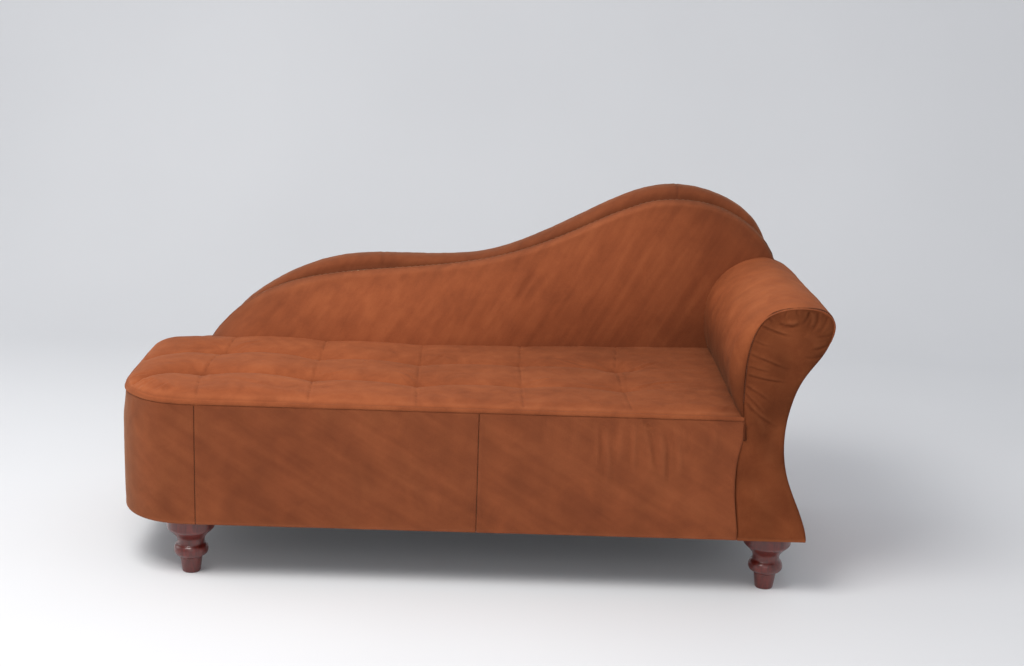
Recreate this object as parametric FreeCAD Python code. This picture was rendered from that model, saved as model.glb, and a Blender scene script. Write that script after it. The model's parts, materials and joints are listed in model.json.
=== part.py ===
import FreeCAD, Part
import math
import os

os.makedirs("parts", exist_ok=True)
V = FreeCAD.Vector

# ---------------------------------------------------------------------------
# Fainting couch, millimetres. X: foot end (-) to head end (+), Y: front (-) to
# rear (+), Z up. Origin: on the floor, under the middle of the outer box.
# ---------------------------------------------------------------------------
FRONT_Y = -335.0        # outer face of the front border
REAR_Y = 335.0          # outer face of the rear cloth
STRAIGHT_X = -628.0     # the straight front ends here and the rounded foot end starts
END_R = 192.0           # plan radius of the two foot end corners
END_N = 2.35            # how square those corners are (2 is a true circle)
BOTTOM_Z = 140.0        # lower edge of all the cloth, and the top of the legs
FRAME_Z = 142.0         # underside of the timber frame
SEAM_Z = 431.0          # seam between the border and the seat top
DECK_Z = 365.0          # top of the upper rails, where the springs lie
CLOTH = 2.0             # covers, with their lining
WAD = 8.0               # wadding between boards and covers
BOARD = 18.0            # outer boards
RAIL = 28.0             # rails
SEAT_CROWN = 452.0      # highest part of the seat top
FRONT_SEAM_X = 24.0     # vertical seam in the front border
FRONT_END_X = 631.0     # head end of the front border, where the arm facing starts
PAD_BACK_Y = 251.0      # plane between the padded back and the rim behind it
LEG_X = (-647.0, 713.0)
LEG_Y = (-265.0, 265.0)
BOLT_R = 4.0            # hanger bolts
SPRING_R = 1.9          # wire radius of the seat springs
SPRING_N = 10           # how many springs
SCREW_R = 2.0

# outer outline (X, Z) of the upholstered back at its rim, foot end to head end and
# down the head end to the lower edge
RIM = [(-685.8, 432.3), (-655.5, 470.9), (-621.8, 506.9), (-585.1, 540.0),
       (-545.6, 569.8), (-503.7, 596.1), (-459.8, 618.6), (-414.1, 637.1),
       (-366.9, 651.1), (-318.5, 660.5), (-269.3, 665.4), (-219.6, 667.2),
       (-169.6, 667.3), (-119.7, 667.3), (-70.1, 668.6), (-21.2, 672.8),
       (26.8, 681.2), (73.7, 694.4), (119.7, 711.7), (165.0, 731.9),
       (209.7, 754.2), (254.1, 777.4), (298.4, 800.7), (342.6, 822.9),
       (387.1, 843.2), (432.4, 859.5), (479.9, 868.8), (529.6, 869.2),
       (579.4, 861.7), (627.1, 847.0), (670.9, 824.7), (709.3, 794.1),
       (740.5, 755.4), (762.4, 711.1), (773.0, 664.1), (772.3, 616.1),
       (763.1, 568.1), (748.8, 520.5), (733.8, 473.0), (723.2, 424.9),
       (721.0, 375.8), (727.7, 326.9), (741.8, 279.3), (759.9, 232.9),
       (777.8, 187.0), (790.0, 140.0)]
# outline (X, Z) of the padded inside back, foot end to head end
PAD = [(-673.4, 449.1), (-643.9, 487.7), (-610.7, 520.2), (-574.2, 547.0),
       (-534.9, 568.9), (-493.3, 586.4), (-449.8, 600.3), (-405.1, 611.1),
       (-359.4, 619.5), (-313.5, 626.1), (-267.5, 631.5), (-221.6, 636.3),
       (-175.8, 640.7), (-130.2, 645.4), (-84.8, 650.7), (-39.7, 657.1),
       (5.1, 665.0), (49.6, 674.9), (93.6, 687.2), (137.2, 701.8),
       (180.4, 718.4), (223.0, 736.7), (265.0, 756.3), (306.6, 776.6),
       (348.3, 796.1), (390.5, 813.2), (433.8, 826.7), (478.7, 834.9),
       (524.4, 837.4), (570.1, 833.7), (614.8, 823.6), (657.5, 806.6),
       (696.7, 782.8), (730.6, 752.2), (757.3, 715.0), (772.1, 671.3)]
# outline (X, Z) of the arm facing: up the inner edge, over the scroll, down the
# outer edge
FACING = [(631.0, 140.0), (632.1, 167.0), (632.7, 194.0), (632.8, 221.0),
          (632.4, 248.0), (631.8, 275.1), (630.8, 302.1), (629.7, 329.1),
          (628.5, 356.1), (627.4, 383.1), (626.3, 410.1), (625.3, 437.1),
          (624.6, 464.1), (624.3, 491.0), (624.4, 518.0), (625.0, 544.9),
          (626.8, 571.7), (630.5, 598.5), (636.8, 625.2), (646.8, 650.7),
          (662.6, 671.9), (685.5, 686.2), (711.4, 693.7), (736.9, 696.3),
          (765.9, 695.9), (793.6, 689.9), (810.9, 673.8), (814.2, 647.9),
          (808.2, 620.5), (797.1, 596.2), (782.4, 573.7), (766.6, 551.7),
          (752.5, 528.8), (741.5, 504.4), (733.4, 478.8), (727.5, 452.4),
          (723.5, 425.5), (721.5, 398.4), (721.6, 371.3), (724.0, 344.4),
          (728.6, 317.8), (735.6, 291.8), (744.9, 266.5), (755.4, 241.5),
          (766.3, 216.7), (776.4, 191.7), (784.8, 166.2), (790.5, 140.0)]
# section (X, Z) of the arm roll, which runs from the facing to the back: up the
# inner side, over the top and round to the fold under the scroll
ROLL = [(639.6, 384.9), (633.4, 405.9), (625.3, 425.8), (616.4, 445.2),
        (607.8, 464.8), (600.7, 485.2), (595.7, 506.6), (593.0, 528.4),
        (592.7, 550.3), (594.8, 572.0), (599.4, 593.1), (606.5, 613.3),
        (616.1, 632.2), (628.2, 649.5), (642.9, 664.8), (660.0, 677.9),
        (679.3, 688.3), (700.2, 696.0), (722.0, 700.6), (744.0, 702.0),
        (765.7, 699.8), (786.3, 694.0), (805.3, 684.1), (820.1, 669.7),
        (825.6, 650.1), (820.3, 628.6), (808.5, 608.6), (796.0, 592.2)]

# the same outlines carried on past the cut at their lower ends, so that every layer
# inside them stays parallel
LOW_Z = 80.0
RIM_LONG = [(-741.0, 355.0), (-714.0, 394.0)] + RIM + [(797.0, 110.0), (799.0, LOW_Z)]
FACING_LONG = ([(631.0, LOW_Z), (631.0, 110.0)] + FACING +
               [(794.0, 110.0), (796.0, LOW_Z)])


def export(name, shape):
    bad = [s for s in shape.Solids if not s.isValid() or s.Volume <= 0]
    print("%-26s solids %3d  volume %10.0f  %s" % (
        name, len(shape.Solids), shape.Volume, "INVALID" if bad or not shape.isValid() else ""))
    shape.exportStep("parts/%s.step" % name)


def group(shapes):
    return Part.makeCompound(shapes)


def box(x0, x1, y0, y1, z0, z1):
    return Part.makeBox(x1 - x0, y1 - y0, z1 - z0, V(x0, y0, z0))


def cyl(x, y, z0, z1, r):
    return Part.makeCylinder(r, z1 - z0, V(x, y, z0))


def cyl_y(x, z, y0, y1, r):
    return Part.makeCylinder(r, y1 - y0, V(x, y0, z), V(0, 1, 0))


def cyl_x(y, z, x0, x1, r):
    return Part.makeCylinder(r, x1 - x0, V(x0, y, z), V(1, 0, 0))


def spline(points, t0=None, t1=None):
    """Smooth edge through the points, with end directions where they are given."""
    curve = Part.BSplineCurve()
    if t0 is not None and t1 is not None:
        curve.interpolate(Points=points, InitialTangent=t0, FinalTangent=t1)
    else:
        curve.interpolate(points)
    return curve.toShape()


def line(a, b):
    return Part.LineSegment(a, b).toShape()


def inset(points, d):
    """Points of an open outline moved d to the right of its direction of travel."""
    out = []
    for i, (u, w) in enumerate(points):
        a = points[max(i - 1, 0)]
        b = points[min(i + 1, len(points) - 1)]
        du, dw = b[0] - a[0], b[1] - a[1]
        n = math.hypot(du, dw)
        out.append((u + d * dw / n, w - d * du / n))
    return out


def clip_low(points, z, first=True, last=True):
    """Cuts an (X, Z) outline off at height z at its first or last end."""
    pts = list(points)
    if first:
        while len(pts) > 2 and pts[1][1] <= z + 1.0:
            pts.pop(0)
        (u0, w0), (u1, w1) = pts[0], pts[1]
        pts[0] = (u0 + (u1 - u0) * (z - w0) / (w1 - w0), z)
    if last:
        while len(pts) > 2 and pts[-2][1] <= z + 1.0:
            pts.pop()
        (u0, w0), (u1, w1) = pts[-1], pts[-2]
        pts[-1] = (u0 + (u1 - u0) * (z - w0) / (w1 - w0), z)
    return pts


def xz_prism(curve, corners, y0, y1):
    """Solid between y0 and y1: a smooth (X, Z) outline closed by straight corners."""
    top = spline([V(u, y0, w) for u, w in curve])
    chain = [curve[-1]] + list(corners) + [curve[0]]
    edges = [top]
    for a, b in zip(chain, chain[1:]):
        if math.hypot(a[0] - b[0], a[1] - b[1]) > 1e-6:
            edges.append(line(V(a[0], y0, a[1]), V(b[0], y0, b[1])))
    face = Part.Face(Part.Wire(edges))
    return face.extrude(V(0, y1 - y0, 0))


def facing_prism(d, y0, y1, z0=BOTTOM_Z):
    """Arm facing outline inset by d, between y0 and y1, cut off flat at z0."""
    pts = inset(FACING_LONG, d)
    return xz_prism(pts, [], y0, y1).common(box(500, 900, y0 - 1, y1 + 1, z0, 900))


def rim_prism(d, y0, y1):
    """Rim outline inset by d, between y0 and y1, running down past the lower edge."""
    pts = inset(RIM_LONG, d)
    return xz_prism(pts, [(pts[0][0], pts[-1][1])], y0, y1)


def corner_points(d, sign):
    """One foot end corner in plan, from the straight side to the end, inset by d."""
    pts = []
    steps = 12
    for i in range(steps + 1):
        t = math.pi / 2 * i / steps
        c, s = math.sin(t), math.cos(t)
        u, w = c ** (2 / END_N), s ** (2 / END_N)
        nu, nw = (u ** (END_N - 1), w ** (END_N - 1))
        n = math.hypot(nu, nw)
        x = STRAIGHT_X - END_R * u + d * nu / n
        y = (REAR_Y - END_R) + END_R * w - d * nw / n
        pts.append((x, sign * y))
    return pts


def plan_wire(d, x_right, z, rear_inset=None):
    """Closed plan outline of the base, inset by d, as far as x_right."""
    front = [V(x, y, z) for x, y in corner_points(d, -1)]
    rear = [V(x, y, z) for x, y in reversed(corner_points(d, 1))]
    edges = [spline(front, V(-1, 0, 0), V(0, 1, 0)), line(front[-1], rear[0]),
             spline(rear, V(0, 1, 0), V(1, 0, 0))]
    if x_right > STRAIGHT_X:
        a, b = V(x_right, front[0].y, z), V(x_right, rear[-1].y, z)
        edges = [line(a, front[0])] + edges + [line(rear[-1], b), line(b, a)]
    else:
        edges.append(line(rear[-1], front[0]))
    return Part.Wire(edges)


def plan_prism(d, x_right, z0, z1):
    return Part.Face(plan_wire(d, x_right, z0)).extrude(V(0, 0, z1 - z0))


def holes(shape, cutters):
    return shape.cut(Part.makeCompound(cutters)) if cutters else shape


# ---------------------------------------------------------------- legs, bolts
LEG_PROFILE = [(20.0, 0.0), (21.5, 2.0), (26.4, 38.0), (29.5, 40.5), (36.5, 45.0),
               (40.0, 51.0), (40.5, 56.0), (39.5, 62.0), (36.0, 68.0), (32.0, 72.5),
               (31.5, 78.0), (32.5, 84.0), (36.5, 91.0), (43.5, 99.0), (51.0, 106.0),
               (55.5, 112.0), (56.0, 117.0)]


def leg(x, y):
    foot = line(V(0, 0, 0), V(20, 0, 0))
    chamfer = line(V(20, 0, 0), V(21.5, 0, 2))
    taper = line(V(21.5, 0, 2), V(26.4, 0, 38))
    turned = spline([V(r, 0, z) for r, z in LEG_PROFILE[2:]])
    side = line(V(56, 0, 117), V(56, 0, BOTTOM_Z))
    top = line(V(56, 0, BOTTOM_Z), V(0, 0, BOTTOM_Z))
    axis = line(V(0, 0, BOTTOM_Z), V(0, 0, 0))
    wire = Part.Wire([foot, chamfer, taper, turned, side, top, axis])
    solid = Part.Face(wire).revolve(V(0, 0, 0), V(0, 0, 1), 360)
    solid = Part.Solid(Part.Shell(solid.Faces)) if solid.ShapeType != "Solid" else solid
    if solid.Volume < 0:
        solid.reverse()
    solid = solid.cut(cyl(0, 0, 95, BOTTOM_Z + 1, BOLT_R + 0.1))
    solid.translate(V(x, y, 0))
    return solid


bolt_axes = [(x, y) for x in LEG_X for y in LEG_Y]
export("leg_foot_front", leg(LEG_X[0], LEG_Y[0]))
export("leg_foot_rear", leg(LEG_X[0], LEG_Y[1]))
export("leg_head_front", leg(LEG_X[1], LEG_Y[0]))
export("leg_head_rear", leg(LEG_X[1], LEG_Y[1]))

BLOCK_TOP = {LEG_X[0]: 205.0, LEG_X[1]: 205.0}
export("hanger_bolts", group([cyl(x, y, 96, 216, BOLT_R) for x, y in bolt_axes]))
nuts = []
for x, y in bolt_axes:
    hexagon = Part.Face(Part.makePolygon(
        [V(x + 7.5 * math.cos(math.radians(60 * k)), y + 7.5 * math.sin(math.radians(60 * k)), 207)
         for k in range(7)])).extrude(V(0, 0, 6.5))
    nuts.append(hexagon.cut(cyl(x, y, 200, 220, BOLT_R + 0.05)))
    nuts.append(cyl(x, y, 205, 206.95, 11).cut(cyl(x, y, 200, 220, BOLT_R + 0.3)))
export("leg_bolt_nuts_and_washers", group(nuts))

# -------------------------------------------------------------- base timbers
RI = FRONT_Y + CLOTH + WAD + BOARD      # -307: inner face of the front board
screws = []                              # (x, y, z, direction) of each wood screw


def screw_y(x, z, y0, sign, length=42.0):
    """A wood screw along Y whose head is flush with the plane y0."""
    a = Part.makeCone(4.0, SCREW_R, 3.0, V(x, y0, z), V(0, sign, 0))
    b = Part.makeCylinder(SCREW_R, length - 3.0, V(x, y0 + sign * 3.0, z), V(0, sign, 0))
    return a.fuse(b)


SCREWS = []
for x in (-560, -330, -100, 140, 380, 600):          # front board to the front rails
    SCREWS.append(screw_y(x, 172, FRONT_Y + CLOTH + WAD, 1))
    SCREWS.append(screw_y(x, 335, FRONT_Y + CLOTH + WAD, 1))
for x in (-496, -240, 144, 400, 680):                # back posts to the rear rails
    if x < 600:
        SCREWS.append(screw_y(x, 172, 269, 1))
    SCREWS.append(screw_y(x, 335, 269, 1))
for x, z in ((655, 172), (655, 335), (705, 172), (690, 335)):   # arm profile to the front rails
    SCREWS.append(screw_y(x, z, FRONT_Y + CLOTH + WAD, 1))
export("frame_screws", group(SCREWS))
SCREW_HOLES = [s for s in SCREWS]
BOLT_HOLES = [cyl(x, y, 130, 230, BOLT_R + 0.3) for x, y in bolt_axes]

front_lower = box(STRAIGHT_X, 740, RI, RI + RAIL, FRAME_Z, 202)
front_upper = box(STRAIGHT_X, 700, RI, RI + RAIL, 305, DECK_Z)
rear_lower = box(STRAIGHT_X, 740, 297, 325, FRAME_Z, 202)
rear_upper = box(STRAIGHT_X, 700, 297, 325, 305, DECK_Z)
export("front_lower_rail", holes(front_lower, SCREW_HOLES))
export("front_upper_rail", holes(front_upper, SCREW_HOLES))
export("rear_lower_rail", holes(rear_lower, SCREW_HOLES))
export("rear_upper_rail", holes(rear_upper, SCREW_HOLES))

CROSS_Y0, CROSS_Y1 = RI + RAIL, 297.0     # -279 .. 297
export("cross_rails", group([
    box(STRAIGHT_X, STRAIGHT_X + RAIL, CROSS_Y0, CROSS_Y1, FRAME_Z, 202),
    box(STRAIGHT_X, STRAIGHT_X + RAIL, CROSS_Y0, CROSS_Y1, 305, DECK_Z),
    box(0, RAIL, CROSS_Y0, CROSS_Y1, FRAME_Z, 202),
    box(640, 668, CROSS_Y0, CROSS_Y1, FRAME_Z, 202),
    box(640, 668, CROSS_Y0, CROSS_Y1, 305, DECK_Z)]))

# short studs between the lower and upper rails
studs = [box(x, x + 45, RI, RI + RAIL, 202, 305) for x in (-600, -300, 160, 560)]
studs += [box(x, x + 45, 297, 325, 202, 305) for x in (-600, -120, 220, 560)]
export("base_studs", group(studs))

# D-shaped foot end formers, top and bottom, and the uprights between them
former_d = CLOTH + WAD + BOARD
lower_former = plan_prism(former_d, STRAIGHT_X, FRAME_Z, 170)
lower_former = lower_former.cut(box(-760, -668, -150, 150, 100, 220))
upper_former = plan_prism(former_d, STRAIGHT_X, 337, DECK_Z)
upper_former = upper_former.cut(box(-748, -600, -190, 190, 300, 400))
export("foot_end_lower_former", holes(lower_former, BOLT_HOLES))
export("foot_end_upper_former", upper_former)
uprights = [box(-790, -762, y - 22, y + 22, 170, 337) for y in (-100, 0, 100)]
uprights += [box(-704, -660, y - 14, y + 14, 205, 337) for y in (-262, 262)]
export("foot_end_uprights", group(uprights))

blocks = [box(-728, STRAIGHT_X, -278, -198, 170, 205), box(-728, STRAIGHT_X, 198, 278, 170, 205),
          box(668, 740, -279, -199, FRAME_Z, 205), box(668, 740, 217, 297, FRAME_Z, 205)]
export("leg_blocks", group([holes(b, BOLT_HOLES) for b in blocks]))

# ------------------------------------------------------------- outer boards
BO = CLOTH + WAD                           # 10: outer face of the boards
front_board = box(STRAIGHT_X, 627, FRONT_Y + BO, RI, FRAME_Z, DECK_Z)
export("front_board", holes(front_board, SCREW_HOLES))


def plan_shell(d0, d1, z0, z1, x0, x1, y0, y1):
    """Upright wall between two plan outlines, kept inside a box in X and Y."""
    wall = plan_prism(d0, 800, z0, z1).cut(plan_prism(d1, 900, z0 - 1, z1 + 1))
    return wall.common(box(x0, x1, y0, y1, z0 - 2, z1 + 2))


EY = REAR_Y - END_R
export("foot_end_board", plan_shell(BO, BO + BOARD, FRAME_Z, DECK_Z, -900, STRAIGHT_X, -EY, EY))
export("foot_corner_board_front",
       plan_shell(BO, BO + BOARD, FRAME_Z, DECK_Z, -900, STRAIGHT_X, -400, -EY))
export("foot_corner_board_rear",
       plan_shell(BO, BO + BOARD, FRAME_Z, DECK_Z, -900, STRAIGHT_X, EY, 400))

# -------------------------------------------------------- suspension, springs
SPRING_Y0, SPRING_Y1 = RI + 8, 317.0
SPRING_Z = DECK_Z + SPRING_R + 1.2
HALF_W, PITCH = 21.0, 26.0


def seat_spring(x):
    """One zigzag spring: straight cross runs joined by half round bends."""
    r = PITCH / 2
    n = 22
    y = (SPRING_Y0 + SPRING_Y1) / 2 - n * PITCH / 2
    edges = []
    side = 1
    p = V(x, SPRING_Y0, SPRING_Z)
    q = V(x, y, SPRING_Z)
    edges.append(line(p, q))
    start = V(x, y, SPRING_Z)
    for i in range(n):
        a = V(x + side * (HALF_W - r), y, SPRING_Z)
        edges.append(line(start, a))
        m = V(x + side * HALF_W, y + r, SPRING_Z)
        b = V(x + side * (HALF_W - r), y + PITCH, SPRING_Z)
        edges.append(Part.Arc(a, m, b).toShape())
        start = b
        y += PITCH
        side = -side
    c = V(x, y, SPRING_Z)
    edges.append(line(start, c))
    edges.append(line(c, V(x, SPRING_Y1, SPRING_Z)))
    return edges


def spring_solid(x):
    edges = seat_spring(x)
    solids = []
    for e in edges:
        solids.append(e)
    # tubes for the straight runs, part rings for the bends, joined in one solid
    made = None
    parts = []
    for e in edges:
        if e.Curve.TypeId == "Part::GeomLine":
            a, b = e.Vertexes[0].Point, e.Vertexes[-1].Point
            d = b - a
            parts.append(Part.makeCylinder(SPRING_R, d.Length, a, d))
        else:
            wire = Part.Wire([e])
            t = e.tangentAt(e.FirstParameter)
            p = e.valueAt(e.FirstParameter)
            ring = Part.Wire([Part.Circle(p, t, SPRING_R).toShape()])
            parts.append(wire.makePipeShell([ring], True, False))
    for c in (seat_spring(x)[0].Vertexes[-1].Point, seat_spring(x)[-1].Vertexes[0].Point):
        parts.append(Part.makeSphere(SPRING_R, c))
    made = parts[0].multiFuse(parts[1:])
    return made


spring_x = [-560 + i * 128.0 for i in range(SPRING_N)]
first_spring = spring_solid(spring_x[0])
springs = []
for x in spring_x:
    s = first_spring.copy()
    s.translate(V(x - spring_x[0], 0, 0))
    springs.append(s)
export("seat_springs", group(springs))

clips = []
for x in spring_x:
    for y in (RI + 14, 311):
        shell = box(x - 12, x + 12, y - 9, y + 9, DECK_Z, DECK_Z + 6.6)
        slot = box(x - 13, x + 13, y - 7.6, y + 7.6, DECK_Z + 1.0, DECK_Z + 5.4)
        mouth = box(x - 13, x + 13, y - 3.0, y + 10, DECK_Z + 1.0, DECK_Z + 5.4)
        if y > 0:
            mouth = box(x - 13, x + 13, y - 10, y + 3.0, DECK_Z + 1.0, DECK_Z + 5.4)
        piece = shell.cut(slot).cut(mouth)
        piece = piece.cut(box(x - 2.4, x + 2.4, y - 10, y + 10, DECK_Z + 1.0, DECK_Z + 5.4))
        clips.append(piece)
export("spring_clips", group(clips))
tie_z = DECK_Z - 1.6
export("spring_tie_wires",
       group([cyl_x(y, tie_z, STRAIGHT_X + RAIL, 640, 1.4) for y in (-95, 115)]))

# ------------------------------------------------------------ seat upholstery
SEAT_END_X = 612.0
TUFTS = [(-637, -136), (-372, -155), (-128, -174), (119, -160), (362, -168),
         (-615, 53), (-376, 24), (-128, 9), (118, 20), (354, 6)]


def edge_distance(x, y):
    """Distance in from the nearest free edge of the seat, in plan."""
    if x > STRAIGHT_X:
        d = y - FRONT_Y
        return min(d, 2000.0)
    dx = max(STRAIGHT_X - x, 0.0)
    ey = max(abs(y) - EY, 0.0)
    r = (dx ** END_N + ey ** END_N) ** (1 / END_N)
    return END_R - r


def seat_top(x, y):
    """Height of the top of the seat cover, with its soft wells."""
    d = max(edge_distance(x, y) - 6.0, 0.0)
    z = SEAM_Z + (SEAT_CROWN - SEAM_Z) * (1 - math.exp(-d / 38.0))
    for tx, ty in TUFTS:
        q = ((x - tx) / 55.0) ** 2 + ((y - ty) / 48.0) ** 2
        z -= 13.0 * math.exp(-q)
    if y > 120:
        z = min(z, SEAT_CROWN - 2.0)
    return z


def seat_surface(dz):
    xs = [-860 + 30.0 * i for i in range(53)]
    ys = [-365 + 28.0 * j for j in range(26)]
    grid = [[V(x, y, seat_top(x, y) + dz) for y in ys] for x in xs]
    surf = Part.BSplineSurface()
    surf.interpolate(grid)
    return surf.toShape()


wells = [cyl(x, y, 300, 500, 1.2) for x, y in TUFTS]
notch = box(-691, 900, 238.8, 400, 300, 600)
foam_body = plan_prism(BO, SEAT_END_X, 374.0, 480).cut(notch)
under = seat_surface(-CLOTH).extrude(V(0, 0, -140))
foam = holes(foam_body.common(under), wells)
export("seat_foam", foam)
skin = seat_surface(-CLOTH).extrude(V(0, 0, CLOTH))
export("seat_cover", holes(plan_prism(0, SEAT_END_X, 400, 500).cut(notch).common(skin), wells))
export("spring_insulator_pad", holes(plan_prism(34, 604, 371.8, 373.8).cut(
    box(-700, 900, 238.8, 400, 300, 600)), wells))
export("seat_tuft_ties", group([cyl(x, y, 372.0, seat_top(x, y) - 0.8, 0.9) for x, y in TUFTS]))

# ------------------------------------------------------------------ border
wad = plan_prism(CLOTH, 628.6, FRAME_Z, SEAM_Z - CLOTH - 1.5)
wad = wad.cut(plan_prism(BO, 700, 100, 500))
wad = wad.common(box(-900, 628.6, -400, 331, 100, 500))
wad = wad.cut(box(STRAIGHT_X, 900, 0, 400, 100, 500)).cut(
    xz_prism(inset(FACING_LONG, -0.3), [], -400, -200))
export("border_wadding", wad)

FLAP = 36.0
border_all = plan_prism(0, 760, BOTTOM_Z, SEAM_Z - CLOTH - 1.5).cut(
    plan_prism(CLOTH, 800, FRAME_Z, 600))
border_all = border_all.cut(plan_prism(FLAP, 900, 100, 600))
foot_half = border_all.common(box(-900, STRAIGHT_X + 4, -400, 400, 100, 500))
foot_half = foot_half.cut(box(STRAIGHT_X, 900, 0, 400, 100, 500))
export("border_cover_foot", foot_half)
export("border_cover_left",
       border_all.common(box(STRAIGHT_X + 4, FRONT_SEAM_X, -400, 0, 100, 500)))
export("border_cover_right",
       border_all.common(box(FRONT_SEAM_X, FRONT_END_X - 0.4, -400, 0, 100, 500)).cut(
           xz_prism(inset(FACING_LONG, -0.3), [], -400, -200)))

# -------------------------------------------------------------------- back
rim2 = inset(RIM, 2)


def rim_layer(d0, d1, y0, y1):
    """Band of the rim between insets d0 and d1, above the seat at its foot end."""
    band = rim_prism(d0, y0, y1).cut(rim_prism(d1, y0 - 1, y1 + 1))
    band = band.common(box(-900, 900, y0, y1, BOTTOM_Z, 900))
    return band.cut(box(-900, 0, 200, 400, 100, SEAM_Z + 0.5))


POSTS = (-496.0, -240.0, 144.0, 400.0, 680.0)
body16 = rim_prism(16, 200, 400)
ring = body16.cut(rim_prism(60, 190, 410)).common(box(-670, 900, 200, 400, DECK_Z, 900))
ring = sorted(ring.Solids, key=lambda s: -s.Volume)[0]
low_ring = rim_prism(36, 200, 400).cut(rim_prism(80, 190, 410)).common(box(-670, 900, 200, 400, DECK_Z, 900))
low_ring = sorted(low_ring.Solids, key=lambda s: -s.Volume)[0]
export("back_front_profile_rail", low_ring.common(box(-900, 900, PAD_BACK_Y, 269, 300, 900)))
export("back_rear_profile_rail", ring.common(box(-900, 900, 297, 325, 300, 900)).cut(
    box(-900, STRAIGHT_X, 200, 400, 300, SEAM_Z + 0.5)))
names = ("back_post_foot", "back_post_low", "back_post_middle", "back_post_high", "back_post_head")
for name, x in zip(names, POSTS):
    w = 30 if x < 600 else 22
    post = box(x - w, x + w, 269, 297, FRAME_Z, 900)
    post = post.common(body16)
    for cross in ((STRAIGHT_X, STRAIGHT_X + RAIL), (0, RAIL), (640, 668)):
        post = post.cut(box(cross[0] - 0.1, cross[1] + 0.1, CROSS_Y0, CROSS_Y1, FRAME_Z - 1, 202))
    post = post.cut(box(639.9, 668.1, CROSS_Y0, CROSS_Y1, 305, DECK_Z))
    post = post.cut(box(668 - 0.1, 741, 216, 297.05, FRAME_Z - 1, 205.1))
    solids = sorted(post.Solids, key=lambda s: -s.Volume)
    export(name, holes(solids[0], SCREW_HOLES))



def round_front(solid, y, r):
    """Rounds the long upper edge in the plane y of a rim solid."""
    edges = [e for e in solid.Edges if e.Length > 1500
             and abs(e.BoundBox.YMin - y) < 0.01 and abs(e.BoundBox.YMax - y) < 0.01]
    return solid.makeFillet(r, edges)


above = box(-900, 900, PAD_BACK_Y, 333, SEAM_Z + 0.5, 900)
seat_end = box(-900, 0, 200, 400, 100, SEAM_Z + 0.5)
liner = rim_layer(12, 16, 269, 325).common(above)
export("rim_liner", sorted(liner.Solids, key=lambda s: -s.Volume)[0])
rim_outer = round_front(rim_prism(0, PAD_BACK_Y, REAR_Y), PAD_BACK_Y, 13.0)
rim_inner = round_front(rim_prism(2, PAD_BACK_Y + 2, REAR_Y + 1), PAD_BACK_Y + 2, 11.0)
rim_foam = rim_inner.common(above).cut(rim_prism(12, 269, 400)).cut(rim_prism(36, 200, 269.01))
export("rim_foam", sorted(rim_foam.Solids, key=lambda s: -s.Volume)[0])
rim_cover = rim_outer.cut(rim_inner).cut(rim_prism(36, 200, 400))
rim_cover = rim_cover.common(box(-900, 900, 200, 400, BOTTOM_Z, 900)).cut(seat_end)
export("rim_cover", sorted(rim_cover.Solids, key=lambda s: -s.Volume)[0])

# outside back: wadding and cloth, flat over the rear of the frame
rear_panel = rim_prism(12.2, 325, 333).common(box(-900, 900, 325, 333, FRAME_Z, 900))
rear_panel = rear_panel.cut(box(-900, STRAIGHT_X + 0.4, 200, 400, 100, SEAM_Z + 0.5))
export("outside_back_wadding", rear_panel.Solids[0])
rear_cloth = rim_prism(2.2, 333, REAR_Y).common(box(-900, 900, 333, REAR_Y, BOTTOM_Z, 900))
rear_cloth = rear_cloth.cut(box(-900, STRAIGHT_X + 0.4, 200, 400, 100, SEAM_Z + 0.5))
rear_flap = box(STRAIGHT_X + 0.4, 750, 300, 333, BOTTOM_Z, FRAME_Z)
export("outside_back_cover", rear_cloth.fuse(rear_flap).Solids[0])

# padded inside back
pad_in = inset(PAD, 3.5)
BOARD_Z = DECK_Z + 6.0                    # clear of the springs that pass under it
pad_board = xz_prism(inset(PAD, 4), [(720, 660), (700, 600), (700, BOARD_Z),
                                     (inset(PAD, 4)[0][0], BOARD_Z)], 239, PAD_BACK_Y)
export("inside_back_board", sorted(pad_board.Solids, key=lambda s: -s.Volume)[0])


def pad_front(x, z):
    """How far forward the padded back stands: thick at the seat, thin at its top."""
    s = (x + 700.0) / 1480.0
    t = (z - 450.0) / 400.0
    a = 150.0 + 50.0 * s
    b = 270.0 - 65.0 * s
    return a + (b - a) * t


def pad_patch(dy):
    rows = []
    for i in range(9):
        x = -760 + 1640.0 * i / 8
        rows.append([V(x, pad_front(x, 430 + 460.0 * j / 8) + dy, 430 + 460.0 * j / 8)
                     for j in range(9)])
    surf = Part.BSplineSurface()
    surf.interpolate(rows)
    return surf.toShape().extrude(V(0, 260, 0))


PAD_Z = SEAT_CROWN + 0.5
pad_outer = xz_prism(clip_low(PAD, PAD_Z, last=False), [(765, 600), (640, PAD_Z)], 100, 239)
pad_inner = xz_prism(clip_low(pad_in, PAD_Z + 2, last=False), [(760, 602), (638, PAD_Z + 2)],
                     90, 239)
arm_clear = xz_prism(inset(ROLL, -0.6), [(760, 560), (700, 480), (690, 385)], -400, 238.99)
arm_clear = arm_clear.fuse(box(690, 900, -400, 238.99, 300, 640))
pad_foam = pad_inner.common(pad_patch(0)).cut(xz_prism(
    inset(ROLL, -2.8), [(760, 560), (700, 480), (690, 385)], -400, 400)).cut(
    box(690, 900, -400, 400, 300, 640))
export("inside_back_foam", sorted(pad_foam.Solids, key=lambda s: -s.Volume)[0])
pad_cover = pad_outer.common(pad_patch(-CLOTH)).cut(pad_inner.common(pad_patch(0))).cut(arm_clear)
export("inside_back_cover", sorted(pad_cover.Solids, key=lambda s: -s.Volume)[0])

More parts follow.
